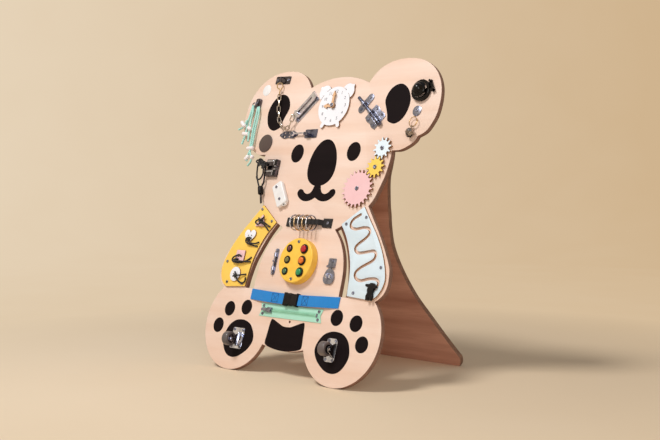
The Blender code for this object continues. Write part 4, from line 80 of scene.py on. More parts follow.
def smoothLine(points, steps, closed=False):
    points = [Vector(point) for point in points]
    count = len(points)
    run = []
    for index in range(count if closed else count - 1):
        p1, p2 = points[index], points[(index + 1) % count]
        if closed:
            p0, p3 = points[index - 1], points[(index + 2) % count]
        else:
            p0 = points[index - 1] if index else p1 * 2 - p2
            p3 = points[index + 2] if index + 2 < count else p2 * 2 - p1
        for step in range(steps):
            t = step / steps
            run.append((p1 * 2 + (p2 - p0) * t + (p0 * 2 - p1 * 5 + p2 * 4 - p3) * t ** 2
                        + (p1 * 3 - p0 - p2 * 3 + p3) * t ** 3) / 2)
    if not closed:
        run.append(points[-1])
    return run


def boardLine(table, steps=4, closed=False):
    return smoothLine(placed(table), steps, closed)


def lineLength(points):
    return sum((b - a).length for a, b in zip(points, points[1:]))


def resampled(points, count):
    step, goal, walked = lineLength(points) / count, 0, 0
    run = []
    for a, b in zip(points, points[1:]):
        span = (b - a).length
        while goal <= walked + span + 1e-9 and len(run) <= count:
            run.append(a.lerp(b, (goal - walked) / span))
            goal += step
        walked += span
    if len(run) <= count:
        run.append(points[-1].copy())
    return run


def arc(x, y, radius, steps, tall=None, start=0.0, sweep=pi / 2):
    tall = radius if tall is None else tall
    turns = [start + sweep * k / steps for k in range(steps + 1)]
    return [Vector((x + radius * cos(turn), y + tall * sin(turn))) for turn in turns]


def roundLoop(x, y, radius, steps=48, tall=None):
    return arc(x, y, radius, steps, tall, 0, 2 * pi)[:-1]


def boxLoop(width, height, radius, steps=5, x=0, y=0):
    run = []
    for corner, (sx, sy) in enumerate(((1, 1), (-1, 1), (-1, -1), (1, -1))):
        run += arc(x + sx * (width / 2 - radius), y + sy * (height / 2 - radius), radius, steps,
                   start=pi / 2 * corner)
    return run


# Finishes

def tint(code):
    parts = [int(code[k:k + 2], 16) / 255 for k in (0, 2, 4)]
    return (*[part / 12.92 if part < 0.0405 else ((part + 0.055) / 1.055) ** 2.4
              for part in parts], 1)


def addNode(tree, kind, inputs=None, **settings):
    made = tree.nodes.new("ShaderNode" + kind)
    for key, value in settings.items():
        setattr(made, key, value)
    for socket, value in (inputs or {}).items():
        if isinstance(value, bpy.types.NodeSocket):
            tree.links.new(value, made.inputs[socket])
        else:
            made.inputs[socket].default_value = value
    return made


def startFinish(name, **sockets):
    material = bpy.data.materials.new(name)
    material.use_nodes = True
    shader = material.node_tree.nodes["Principled BSDF"]
    for key, value in sockets.items():
        shader.inputs[key.replace("_", " ")].default_value = value
    return material, material.node_tree, shader


def plateCoords(tree, spot=boardSpot, turn=boardTurn):
    coords = addNode(tree, "TexCoord").outputs["Object"]
    return addNode(tree, "Mapping", {"Vector": coords, "Location": spot, "Rotation": (turn, 0, 0)},
                   vector_type="TEXTURE").outputs[0]


def stretched(tree, vector, scale):
    return addNode(tree, "Mapping", {"Vector": vector, "Scale": scale}).outputs[0]


def noise(tree, vector, scale, detail=3):
    return addNode(tree, "TexNoise",
                   {"Vector": vector, "Scale": scale, "Detail": detail}).outputs[0]


def wave(tree, vector, period, direction, distortion=0.0):
    return addNode(tree, "TexWave", {"Vector": vector, "Scale": pi / 10 / period,
                                     "Distortion": distortion, "Detail": 1, "Detail Scale": 2},
                   bands_direction=direction).outputs["Fac"]


def ranged(tree, value, low, high, start=0.0, end=1.0):
    return addNode(tree, "MapRange", {0: value, 1: low, 2: high, 3: start, 4: end}).outputs[0]


def maths(tree, operation, *values, kind="Math", output=0):
    return addNode(tree, kind, dict(enumerate(values)), operation=operation).outputs[output]


def mixed(tree, share, first, second):
    first, second = [tint(item) if isinstance(item, str) else item for item in (first, second)]
    return addNode(tree, "Mix", {0: share, 6: first, 7: second}, data_type="RGBA").outputs[2]


def faceShare(tree, turn):  # 1 on the face and the back of a board, 0 on its sawn edge
    normal = addNode(tree, "TexCoord").outputs["Normal"]
    dot = maths(tree, "DOT_PRODUCT", normal, (0, -sin(turn), cos(turn)), kind="VectorMath",
                output="Value")
    return ranged(tree, maths(tree, "ABSOLUTE", dot), 0.55, 0.92)


def dress(tree, shader, colour, height, strength, distance, rough=None):
    bump = addNode(tree, "Bump", {"Height": height, "Strength": strength, "Distance": distance})
    tree.links.new(bump.outputs[0], shader.inputs["Normal"])
    tree.links.new(colour, shader.inputs["Base Color"])
    if rough:
        tree.links.new(rough, shader.inputs["Roughness"])


def plyFinish(name, face, grain, edgePale, edgeDark, spot=boardSpot, turn=boardTurn, gloss=0.55,
              **sockets):
    material, tree, shader = startFinish(name, **sockets)
    coords = plateCoords(tree, spot, turn)
    broad = noise(tree, stretched(tree, coords, (2.6, 34, 34)), 1, 4)
    fibre = noise(tree, stretched(tree, coords, (30, 620, 620)), 1, 2)
    wood = mixed(tree, ranged(tree, broad, 0.35, 0.72), face, grain)
    wood = mixed(tree, ranged(tree, fibre, 0.45, 0.75, 0, 0.35), wood, grain)
    layers = wave(tree, coords, 0.0028, "Z", 0.4)
    edge = mixed(tree, ranged(tree, layers, 0.3, 0.7), edgeDark, edgePale)
    edge = mixed(tree, ranged(tree, noise(tree, coords, 60), 0.3, 0.7, 0, 0.5), edge, edgeDark)
    dress(tree, shader, mixed(tree, faceShare(tree, turn), edge, wood), fibre, 0.12, 0.0004,
          ranged(tree, broad, 0.2, 0.8, gloss - 0.06, gloss + 0.08))
    return material


def paintFinish(name, colour, worn, edge="5b3a26"):
    material, tree, shader = startFinish(name)
    coords = plateCoords(tree)
    broad = noise(tree, coords, 26, 4)
    fibre = noise(tree, stretched(tree, coords, (520, 40, 520)), 1, 2)
    coat = mixed(tree, ranged(tree, broad, 0.4, 0.8, 0, 0.6), colour, worn)
    layers = wave(tree, coords, 0.0016, "Z", 0.3)
    burnt = mixed(tree, ranged(tree, layers, 0.3, 0.7), edge, "b98a60")
    dress(tree, shader, mixed(tree, faceShare(tree, boardTurn), burnt, coat), fibre, 0.1, 0.0003,
          ranged(tree, broad, 0.2, 0.8, 0.44, 0.58))
    return material


def metalFinish(name, colour, dull, low, high):
    material, tree, shader = startFinish(name, Metallic=1)
    coords = plateCoords(tree)
    cloud = noise(tree, coords, 90, 4)
    lines = noise(tree, stretched(tree, coords, (900, 60, 900)), 1, 2)
    dress(tree, shader, mixed(tree, ranged(tree, cloud, 0.4, 0.75), colour, dull), lines, 0.06,
          0.0002, ranged(tree, lines, 0.3, 0.7, low, high))
    return material


def plasticFinish(name, colour, worn, gloss=0.3, grain=1400, coat=0.0, **sockets):
    material, tree, shader = startFinish(name, Coat_Weight=coat, **sockets)
    coords = plateCoords(tree)
    cloud = noise(tree, coords, 55)
    dress(tree, shader, mixed(tree, ranged(tree, cloud, 0.4, 0.8), colour, worn),
          noise(tree, coords, grain, 2), 0.05, 0.0002,
          ranged(tree, cloud, 0.2, 0.8, gloss - 0.04, gloss + 0.08))
    return material


def clothFinish(name, colour, dark, pitch=0.0011, middle=None):
    material, tree, shader = startFinish(name, Roughness=0.85, Sheen_Weight=0.08,
                                         Sheen_Roughness=0.5)
    coords = plateCoords(tree)
    weave = maths(tree, "MULTIPLY", wave(tree, coords, pitch, "X"),
                  wave(tree, coords, pitch * 0.8, "Y"))
    cloth = mixed(tree, ranged(tree, weave, 0, 0.6), dark, colour)
    cloth = mixed(tree, ranged(tree, noise(tree, coords, 120), 0.35, 0.8, 0, 0.35), cloth, dark)
    if middle:  # a band of another colour: its colour, half width and y on the board
        code, half, y = middle
        across = addNode(tree, "SeparateXYZ", {0: coords}).outputs[1]
        away = maths(tree, "ABSOLUTE", maths(tree, "SUBTRACT", across, y))
        cloth = mixed(tree, ranged(tree, away, half * 0.94, half * 1.06, 0.55, 0), cloth, code)
    dress(tree, shader, cloth, weave, 0.5, 0.0004)
    return material


def braidFinish(name, colour, dark, pitch=0.0015):
    material, tree, shader = startFinish(name, Roughness=0.8, Sheen_Weight=0.2)
    coords = plateCoords(tree)
    braid = maths(tree, "MULTIPLY", wave(tree, coords, pitch, "DIAGONAL"),
                  wave(tree, coords, pitch, "Y"))
    dress(tree, shader, mixed(tree, ranged(tree, braid, 0, 0.5), dark, colour), braid, 0.6, 0.0004)
    return material


birch = plyFinish("birch", "eed2c0", "e6c2aa", "b58a72", "68443a")
stainedBack = plyFinish("walnut stain", "cb967d", "a56f59", "b68a6e", "4a2c22", standSpot,
                        standTurn, 0.5)
blackStain = plyFinish("black stain", "130c0e", "1c1415", "5a3a2c", "2a1a14", gloss=0.62,
                       Specular_IOR_Level=0.06)
yellowPaint = paintFinish("yellow paint", "fdcf5c", "f8c450")
yellowGear = paintFinish("gear yellow paint", "f8d25c", "f0c44c")
bluePaint = paintFinish("pale blue paint", "d9e6ec", "cbdae2", "8a6038")
whiteGear = paintFinish("gear white paint", "e6f0f5", "d6e3ea")
whitePaint = paintFinish("white paint", "f3f1f4", "e6e3e6")
pinkPaint = paintFinish("pink paint", "f1c4c4", "e8b4b4")
handWood = paintFinish("hand wood", "e2b48a", "cf9c70")
chrome = metalFinish("chrome", "e2e6f4", "a9acbb", 0.1, 0.26)
darkChrome = metalFinish("dark chrome", "68646c", "353034", 0.14, 0.3)
zinc = metalFinish("zinc plate", "9a9eb2", "6a6e80", 0.2, 0.36)
bellSteel = metalFinish("bell steel", "bcb2ac", "6a605c", 0.12, 0.28)
nickel = metalFinish("warm nickel", "d6ccc2", "9a8f86", 0.12, 0.28)
darkPlate = metalFinish("dark plate", "70748a", "393a46", 0.2, 0.34)
brass = metalFinish("warm brass", "e2c9a4", "bf9f74", 0.14, 0.28)
blackPlastic = plasticFinish("black plastic", "141112", "201b1c", 0.36, Specular_IOR_Level=0.18)
blackGloss = plasticFinish("black gloss", "080607", "100c0d", 0.16, coat=0.1,
                           Specular_IOR_Level=0.18)
whitePlastic = plasticFinish("white plastic", "efebe8", "e2ddd9", 0.32)
yellowPlastic = plasticFinish("yellow plastic", "fbc94d", "f3b93c", 0.36)
redPlastic = plasticFinish("red plastic", "c41224", "a60d1c", 0.2, coat=0.3)
orangePlastic = plasticFinish("orange plastic", "ee7a1c", "d96813", 0.2, coat=0.3)
greenPlastic = plasticFinish("green plastic", "1c8d58", "15764a", 0.2, coat=0.3)
redLens = plasticFinish("red lens", "6b2a30", "5a1f26", 0.12, coat=0.5)
oliveLens = plasticFinish("olive lens", "7c7433", "6a6229", 0.12, coat=0.5)
greenLens = plasticFinish("green lens", "3c6a48", "2f5a3c", 0.12, coat=0.5)
rubber = plasticFinish("grey rubber", "575052", "484244", 0.35, 500, 0.3)
nylon = plasticFinish("smoke nylon", "665b5a", "564c4b", 0.35, 700, 0.3)
# the cheek mirror does not reflect: its dark brown colour is a painted reflection of dark
# surroundings
mirrorReflectionPaint = plasticFinish("mirror painted reflection", "4c3c39", "453633", 0.3, 900, 0.15)
blueWebbing = clothFinish("blue webbing", "2092dc", "1878c2")
blackWebbing = clothFinish("black webbing", "211c1d", "120e0f", 0.0009)
navyThread = clothFinish("navy thread", "1a3f7c", "12305f", 0.0006)
zipCloth = clothFinish("zip cloth", "bdedd6", "abe0c6", 0.0008, ("93cfae", 0.0052, 0.12706))
zipGreen = plasticFinish("zip teeth", "9fd3b5", "8cc5a4")
mintBraid = braidFinish("mint braid", "bfe7db", "9dd5c6", 0.0022)
blackBraid = braidFinish("black braid", "1a1213", "0b0708")
paleBead = plasticFinish("pale bead", "f8eeec", "ecdcd8", 0.35)
numeralGrey = plasticFinish("numeral grey", "8e888c", "7e797c", 0.5)
print("finishes made")


# Mesh helpers

def joinIn(bm, part, place=None, paint=0):
    bmesh.ops.remove_doubles(part, verts=part.verts, dist=0.000001)
    bmesh.ops.recalc_face_normals(part, faces=part.faces)
    for face in part.faces:
        face.material_index = paint
    if place:
        part.transform(place)
    carrier = bpy.data.meshes.new("carrier")
    part.to_mesh(carrier)
    part.free()
    bm.from_mesh(carrier)
    bpy.data.meshes.remove(carrier)


def addPlate(bm, loops, low, high, edge=softEdge, paint=0, place=None, rims=2):
    part = bmesh.new()
    for loop in loops:
        verts = [part.verts.new((point[0], point[1], low)) for point in loop]
        for k in range(len(verts)):
            part.edges.new((verts[k - 1], verts[k]))
    if len(loops) == 1:
        part.faces.new(part.verts[:])
    else:
        bmesh.ops.triangle_fill(part, edges=part.edges[:], use_beauty=True, use_dissolve=False)
        inner = [line for line in part.edges if len(line.link_faces) == 2]
        bmesh.ops.dissolve_limit(part, angle_limit=0.01, verts=[], edges=inner)
    grown = bmesh.ops.extrude_face_region(part, geom=part.faces[:])["geom"]
    bmesh.ops.translate(part, vec=(0, 0, high - low),
                        verts=[item for item in grown if isinstance(item, bmesh.types.BMVert)])
    bmesh.ops.recalc_face_normals(part, faces=part.faces)
    rim = [line for line in part.edges if len(line.link_faces) == 2
           and line.verts[0].co.z == line.verts[1].co.z and line.calc_face_angle(0) > 1]
    bmesh.ops.bevel(part, geom=rim, offset=edge, offset_type="OFFSET", segments=rims,
                    profile=0.5, affect="EDGES", material=-1, clamp_overlap=True)
    joinIn(bm, part, place, paint)


def addBox(bm, width, height, radius, low, high, x=0, y=0, edge=softEdge, paint=0, place=None,
           rims=2, steps=5):
    addPlate(bm, [boxLoop(width, height, radius, steps, x, y)], low, high, edge, paint, place,
             rims)


def addLathe(bm, profile, steps, paint=0, place=None):
    part = bmesh.new()
    verts = [part.verts.new((across, 0, up)) for across, up in profile]
    edges = [part.edges.new(pair) for pair in zip(verts, verts[1:])]
    bmesh.ops.spin(part, geom=verts + edges, cent=(0, 0, 0), axis=(0, 0, 1), angle=2 * pi,
                   steps=steps, use_merge=True)
    joinIn(bm, part, place, paint)


def makeCurve(name, points, radius, around, closed=False):
    curve = bpy.data.curves.new(name, "CURVE")
    curve.dimensions = "3D"
    curve.bevel_depth = radius
    curve.bevel_resolution = around
    curve.use_fill_caps = not closed
    spline = curve.splines.new("POLY")
    spline.points.add(len(points) - 1)
    for target, point in zip(spline.points, points):
        target.co = (*point, 1)
    spline.use_cyclic_u = closed
    return curve


def curvePart(curve):
    carrier = bpy.data.objects.new("carrier", curve)
    mesh = bpy.data.meshes.new_from_object(carrier)
    part = bmesh.new()
    part.from_mesh(mesh)
    bpy.data.objects.remove(carrier)
    bpy.data.meshes.remove(mesh)
    bpy.data.curves.remove(curve)
    return part


def addTube(bm, points, radius, closed=False, paint=0, place=None, around=3):
    joinIn(bm, curvePart(makeCurve("tube", points, radius, around, closed)), place, paint)


def stamp(bm, source, places):
    carrier = bpy.data.meshes.new("carrier")
    source.to_mesh(carrier)
    source.free()
    for place in places:
        part = bmesh.new()
        part.from_mesh(carrier)
        joinIn(bm, part, place)
    bpy.data.meshes.remove(carrier)


def cutLevel(bm, height, **side):  # cuts along a level plane and closes the cut
    cut = bmesh.ops.bisect_plane(bm, geom=bm.verts[:] + bm.edges[:] + bm.faces[:],
                                 plane_co=(0, 0, height), plane_no=(0, 0, 1), **side)
    rim = [item for item in cut["geom_cut"] if isinstance(item, bmesh.types.BMEdge)]
    bmesh.ops.edgeloop_fill(bm, edges=rim)


def settle(items, key):  # welding leaves points and faces in another order each run
    ranks = {item: k for k, item in enumerate(sorted(items, key=key))}
    items.sort(key=ranks.get)
    items.index_update()


def keepPiece(name, data, node=None, body="board", bend=None):
    made = bpy.data.objects.new(name, data)
    bpy.context.scene.collection.objects.link(made)
    if bend:
        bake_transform(made)
    else:
        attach(made, body)
    if node:
        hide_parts(node)
    return made


def finishPiece(name, bm, paints, node=None, body="board", onFloor=False, bend=None):
    bm.transform(boardPlace)
    if onFloor:
        cutLevel(bm, 0.00005, clear_inner=True)
        bmesh.ops.recalc_face_normals(bm, faces=bm.faces)
    for face in bm.faces:
        face.smooth = True
    for line in bm.edges:
        line.smooth = len(line.link_faces) != 2 or line.calc_face_angle(0) < radians(32)
    settle(bm.verts, lambda vert: tuple(vert.co))
    for items in (bm.edges, bm.faces):
        settle(items, lambda item: sorted(vert.index for vert in item.verts))
    mesh = bpy.data.meshes.new(name)
    bm.to_mesh(mesh)
    bm.free()
    for material in paints:
        mesh.materials.append(material)
    return keepPiece(name, mesh, node, body, bend)


def platePiece(name, loops, low, high, edge, finish, node=None, rims=2):
    bm = bmesh.new()
    addPlate(bm, loops, low, high, edge, rims=rims)
    finishPiece(name, bm, [finish], node)


def layCord(name, route, radius, material, node=None):
    line = smoothLine([[value / 1000 for value in point] for point in route], 5)
    curve = makeCurve(name, [boardPlace @ point for point in line], radius, 4)
    curve.materials.append(material)
    keepPiece(name, curve, node)


# Camera

cameraSet = {"lens": 55.63, "sensor": 36, "place": (1.41587, -1.491661, 0.357446),
             "aim": (0.1441, -0.171841, 0.304196)}
camera = bpy.data.objects.new("camera", bpy.data.cameras.new("camera"))
camera.data.lens = cameraSet["lens"]
camera.data.sensor_width = cameraSet["sensor"]
camera.location = cameraSet["place"]
look = Vector(cameraSet["aim"]) - Vector(cameraSet["place"])
camera.rotation_euler = look.to_track_quat("-Z", "Y").to_euler()
bpy.context.scene.collection.objects.link(camera)
bpy.context.scene.camera = camera
bpy.context.scene.view_settings.view_transform = "Standard"

# Mint laces, routes in mm, with their beads: each bead's place, turn in degrees and length

laceSet = {
    "radius": 0.0022,
    "routes": {
        "mintLace": ((-229.2, 561, 4.2), (-226.2, 550, 6.2), (-225.1, 528.4, 7),
            (-224.7, 512.2, 7.2), (-223.5, 495.9, 7.2), (-221.6, 479.6, 7.2), (-220, 465.1, 7.5),
            (-215.2, 453.7, 7.5), (-209, 444, 7.4), (-209, 434.5, 7.2), (-215.7, 426.5, 7)),
        "mintLaceTwin": ((-225.5, 561.2, 4.2), (-220, 548, 6), (-218, 528.1, 6.6),
            (-218.3, 511.9, 6.8), (-217.4, 495.6, 6.8), (-215.8, 479.4, 7), (-216, 465.1, 7.8),
            (-219.2, 454, 8.4), (-222.6, 444, 8), (-221.5, 437, 7.6)),
        "mintLaceLoop": ((-247.8, 564.8, 3), (-244.6, 556, 6), (-244.6, 543, 7.4),
            (-246.4, 527, 7.8), (-245.2, 511, 7.8), (-244.6, 498.3, 8), (-246.2, 488.6, 7.8),
            (-249.6, 475.7, 7.4)),
        "mintLaceInner": ((-245.2, 565.5, 4.4), (-239.6, 554, 6.6), (-238.6, 543, 7),
            (-238.4, 529.1, 7.2), (-236.2, 512.7, 7.6), (-234.6, 499.6, 7.6), (-231.8, 481.6, 7.2)),
        "mintLaceBranch": ((-245.2, 529, 12.2), (-246.6, 523, 12.2), (-250.2, 517.8, 10.8),
            (-256, 515, 8.8), (-264.3, 512.3, 7.4), (-271.8, 510.2, 7))}}
beadSet = {
    "radius": 0.0045,
    "beads": (((-0.2182, 0.4651, 0.008), 2, 0.021),
              ((-0.2222, 0.444, 0.0082), 50, 0.014),
              ((-0.2065, 0.4452, 0.0078), 60, 0.01),
              ((-0.245, 0.4985, 0.0084), -6, 0.019),
              ((-0.2356, 0.5105, 0.0082), -28, 0.014),
              ((-0.259, 0.5215, 0.0092), -42, 0.018),
              ((-0.25, 0.5165, 0.0125), -20, 0.01))}


def laceBeads():
    radius, cap = beadSet["radius"], beadSet["radius"] * 0.8
    bm = bmesh.new()
    for spot, turn, length in beadSet["beads"]:
        top = arc(0, length / 2 - cap, radius, 6, cap)[:-1] + [(0, length / 2)]
        addLathe(bm, flipped(top) + [(radius * 0.94, 0)] + top, 24, 0,
                 at(*spot, turn=radians(turn)) @ lying)
    return finishPiece("laceBeads", bm, [paleBead])


beads = laceBeads()
for name, route in laceSet["routes"].items():
    first = name == "mintLace"
    layCord(name, route, laceSet["radius"], mintBraid,
            "mint_lace" if first else None)

# Lanyard with its knots and its key, and the laces of the four shapes; routes in mm

lanyardSet = {
    "radius": 0.0017,
    "routes": {
        "keyLanyard": ((-153, 429, 10.7), (-163, 433, 10.5), (-176, 435.2, 8), (-184, 430, 6),
            (-182.6, 418, 6), (-180, 407, 6.2), (-175.2, 397.5, 6.6), (-170, 389, 7),
            (-164, 380.5, 7.4)),
        "keyLanyardReturn": ((-156.2, 424.5, 8.8), (-155.6, 415, 7.2), (-155, 405, 7),
            (-153.2, 395, 7), (-153, 387, 7.2), (-155, 379.5, 7.6)),
        "keyLanyardLoop": ((-159, 423, 13), (-156.6, 413, 11.2), (-157, 403, 10.8),
            (-162.5, 395.2, 10.8), (-170.5, 395.2, 10.6), (-175.2, 401, 10))},
    "knots": (((-0.176, 0.433, 0.01), 0.0095),
              ((-0.164, 0.4275, 0.0105), 0.009),
              ((-0.156, 0.4262, 0.012), 0.007))}
keySet = {
    "place": (-0.1592, 0.38, 0.0074), "turn": radians(-69), "radius": 0.0057, "length": 0.0175,
    "bladeLength": 0.0215, "bladeWidth": 0.0044, "bladeThick": 0.0022}
shapeLaceSet = {
    "radius": 0.0016,
    "routes": (((-140.1, 312, 8.8), (-133.2, 307.6, 10), (-126, 304.5, 10.4), (-118.4, 301.8, 9.2),
                (-110, 297.5, 7.6), (-103.2, 294.5, 6.2)),
               ((-142.5, 300, 8.8), (-146.8, 302.2, 9), (-145.2, 306, 9), (-138, 308.6, 9.6),
                (-130, 309.6, 9.6), (-123.6, 315, 8.8)),
               ((-146, 301.8, 9), (-139, 298.5, 10), (-131, 298.8, 12.4), (-125, 302, 13.4),
                (-119, 298.5, 11), (-113, 293.4, 8), (-106.1, 286.8, 6.2)),
               ((-149.8, 268.8, 8.8), (-156, 270, 9.2), (-162, 267.8, 9.6), (-162.8, 262, 9.6),
                (-158, 257.8, 9.2), (-151, 255.8, 8.4), (-138, 253.8, 6.6), (-128.2, 252.5, 6)),
               ((-156, 263.2, 9.2), (-152, 260.6, 10), (-146.9, 258.2, 10.6), (-136.1, 257.4, 9),
                (-125.8, 261.4, 6)),
               ((-167.8, 230, 8.8), (-174, 232.2, 9.2), (-182, 230, 9.6), (-189.5, 225.8, 9.6),
                (-191.8, 220.6, 9.4), (-186, 216.8, 9.2), (-171.1, 216, 8.8), (-156.6, 219.2, 7),
                (-145.1, 224.7, 6), (-138.5, 229.7, 5.8)),
               ((-174, 223.5, 8.8), (-181, 222.5, 11.6), (-177, 218.8, 12.4), (-164.6, 218.6, 11.8),
                (-149.6, 219, 7.8), (-138, 219.8, 6)),
               ((-175.5, 196.7, 8.8), (-172.5, 191.5, 9.2), (-168.7, 186, 9.2), (-160, 178.5, 8.6),
                (-149, 174.5, 6.6), (-142.4, 179, 6), (-142.7, 187, 5.8)),
               ((-175.5, 186.2, 11.6), (-164, 188.8, 11.8), (-157.7, 190.2, 9.2),
                (-143.3, 193.5, 6))),
    "knots": (((-0.129, 0.3045, 0.0112), 0.005),
              ((-0.156, 0.264, 0.01), 0.0042),
              ((-0.18, 0.22, 0.0108), 0.0046),
              ((-0.17, 0.1878, 0.0106), 0.0036))}


def knotPiece(name, sizes, share=1.0):
    bm = bmesh.new()
    for spot, reach in sizes["knots"]:
        line = []
        for k in range(72):
            turn = 2 * pi * k / 72
            line.append(Vector(spot) + Vector(((sin(turn) + 2 * sin(2 * turn)) * reach / 3.4,
                                               (cos(turn) - 2 * cos(2 * turn)) * reach / 3.4,
                                               -sin(3 * turn) * reach / 3.2)))
        addTube(bm, line, sizes["radius"] * share, True)
    return finishPiece(name, bm, [blackBraid])


def strikeKey(place, turn, radius, length, bladeLength, bladeWidth, bladeThick):
    place, half = at(*place, turn=turn), bladeThick / 2
    bm = bmesh.new()
    addLathe(bm, [(0, 0), (radius * 0.55, 0.0002), (radius * 0.85, radius * 0.12),
                  (radius, radius * 0.35), (radius, length * 0.3), (radius * 0.93, length * 0.32),
                  (radius * 0.93, length * 0.36), (radius, length * 0.38),
                  (radius, length - radius * 0.25), (radius * 0.9, length - radius * 0.06),
                  (radius * 0.6, length), (0, length)], 40, 0, place @ lying)
    addBox(bm, bladeLength + 0.0015, bladeWidth, bladeWidth / 4, -half, half,
           length + bladeLength / 2 - 0.00075, paint=1, place=place, steps=4)
    return finishPiece("strikeKey", bm, [blackPlastic, darkChrome], "strike_key")


fellows = [knotPiece("lanyardKnot", lanyardSet), strikeKey(**keySet)]
for name, route in lanyardSet["routes"].items():
    first = name == "keyLanyard"
    layCord(name, route, lanyardSet["radius"], blackBraid,
            "key_lanyard" if first else None)
knotPiece("laceKnots", shapeLaceSet, 0.9)
for count, route in enumerate(shapeLaceSet["routes"], 1):
    layCord("shapeLace" + str(count), route, shapeLaceSet["radius"], blackBraid)
print("cords laid")

# Board with its black inlays; outlines in thousandths of the half width and of the height

boardSet = {
    "thick": 0.01, "edge": 0.0006, "inlay": 0.00025, "footRadius": 0.0945,
    "footCentre": (540.5, 148), "footTurns": (202, 407.5), "hole": (19, 171), "holeRadius": 0.0025,
    "crotch": ((0, 82), (112, 84)),
    "arm": ((816, 268), (846, 283), (861, 304), (861, 326), (843, 360), (768, 412), (693, 457),
        (610, 501), (543, 537)),
    "head": ((543, 537), (579, 558), (612, 594), (639, 630), (654, 669), (657, 689), (654, 708)),
    "lobe": ((654, 708), (727, 709), (794, 720), (843, 735), (861, 749)),
    "ear": ((861, 749), (925, 763), (966, 788), (991, 814), (1000, 846), (996, 877), (978, 907),
        (940, 937), (884, 963), (805, 984), (712, 996), (599, 1000), (494, 995), (404, 980),
        (345, 959), (300, 933)),
    "top": ((300, 933), (210, 947), (105, 957), (0, 960)),
    "belly": ((273, 462), (330, 437), (375, 410), (412, 376), (434, 337), (440, 298), (442, 262)),
    "armSide": ((530, 262), (524, 298), (502, 345), (464, 385), (408, 432), (337, 476))}
inlaySet = {
    "eye": (292, 709), "eyeSize": (0.0175, 0.0195), "toeRadius": 0.0153,
    "toes": ((468, 200), (654, 190), (742, 133)),
    "ear": ((554, 803), (588, 795), (629, 792), (678, 801), (715, 821), (734, 852), (721, 880),
        (682, 904), (625, 918), (562, 914), (517, 897), (496, 874), (502, 858), (524, 839),
        (541, 821)),
    "nose": ((34, 601), (60, 604), (104, 616), (134, 636), (144, 661), (137, 688), (114, 716),
        (76, 738), (36, 749.5), (0, 752.5)),
    "lipUpper": ((142, 587), (124, 579), (94, 574), (64, 577), (45, 586), (34, 600)),
    "lipLower": ((0, 562), (45, 553), (94, 550), (139, 554), (180, 565), (197, 577), (187, 587),
        (165, 590), (142, 587)),
    "bib": ((0, 81.2), (30, 81.3), (90, 84), (145, 88), (180, 93), (192, 102), (186, 128),
        (180, 157), (173, 170), (160, 173.5), (113, 167), (45, 156), (15, 154.5), (0, 154.3)),
    "pad": ((490, 160), (434, 157), (378, 146), (334, 122), (323, 98), (355, 73), (410, 54),
        (460, 43), (520, 39), (576, 45), (620, 62), (649, 88), (645, 112), (614, 138), (558, 155))}
hookBlockSet = {
    "place": (-0.23096, 0.5689), "width": 0.014, "height": 0.022, "foot": 0.0001, "rise": 0.006,
    "ring": (-0.24804, 0.5689), "ringRadius": 0.0046, "wire": 0.0008, "screw": 0.0032}
pivotSet = {
    "gears": ((0.11187, 0.37608), (0.14626, 0.41823), (0.15437, 0.45577)), "gearTop": 0.0059,
    "clock": (0, 0.54975), "clockTop": 0.0099, "stem": 0.0022, "head": 0.0042, "rise": 0.0017,
    "foot": 0.0001}


def joined(*runs):
    line = []
    for run in runs:
        for point in run:
            if not line or (point - line[-1]).length > 0.00001:
                line.append(point)
    return line


def bothHalves(half):
    return half + [point for point in mirrored(half) if abs(point.x) > 0.00001]


def boardLoops():
    centre, (start, end) = onBoard(boardSet["footCentre"]), boardSet["footTurns"]
    turns = [radians(start + (end - start) * k / 60) for k in range(61)]
    foot = [centre + Vector((cos(turn), sin(turn))) * boardSet["footRadius"] for turn in turns]
    half = joined(smoothLine(placed(boardSet["crotch"]) + [foot[0]], 4), foot,
                  smoothLine([foot[-1]] + placed(boardSet["arm"]), 4),
                  *[boardLine(boardSet[key]) for key in ("head", "lobe", "ear", "top")])
    gap = joined(boardLine(boardSet["belly"]), boardLine(boardSet["armSide"]))
    return [bothHalves(half), gap, mirrored(gap),
            roundLoop(*onBoard(boardSet["hole"]), boardSet["holeRadius"], 24)]


def inlayLoops():
    halfFace = joined(boardLine(inlaySet["lipLower"], 3), boardLine(inlaySet["lipUpper"], 3),
                      boardLine(inlaySet["nose"]))
    wide, tall = inlaySet["eyeSize"]
    pairs = [boardLine(inlaySet["ear"], 4, True), boardLine(inlaySet["pad"], 4, True),
             roundLoop(*onBoard(inlaySet["eye"]), wide, 56, tall)]
    pairs += [roundLoop(*toe, inlaySet["toeRadius"]) for toe in placed(inlaySet["toes"])]
    return [bothHalves(halfFace), bothHalves(boardLine(inlaySet["bib"], 3))] + pairs + [
        mirrored(loop) for loop in pairs]


def addScrewHead(bm, radius, rise, place, paint):
    reach, arm = radius * 0.56, radius * 0.13
    cross = [Matrix.Rotation(k * pi / 2, 2) @ Vector(point) for k in range(4)
             for point in ((arm, -arm), (reach, -arm), (reach, arm))]
    addLathe(bm, [(0, 0), (radius, 0), (radius, rise * 0.25), (radius * 0.93, rise * 0.5),
                  (0, rise * 0.5)], 24, paint, place)
    addPlate(bm, [roundLoop(0, 0, radius * 0.92, 24), cross], rise * 0.49, rise, radius * 0.16,
             paint, place, 3)


def addPivots(bm, gears, gearTop, clock, clockTop, stem, head, rise, foot):
    for spot, top in [(gear, gearTop) for gear in gears] + [(clock, clockTop)]:
        addLathe(bm, [(0, foot), (stem, foot), (stem, top), (0, top)], 24, 1, at(*spot))
        addScrewHead(bm, head, rise, at(*spot, top), 1)


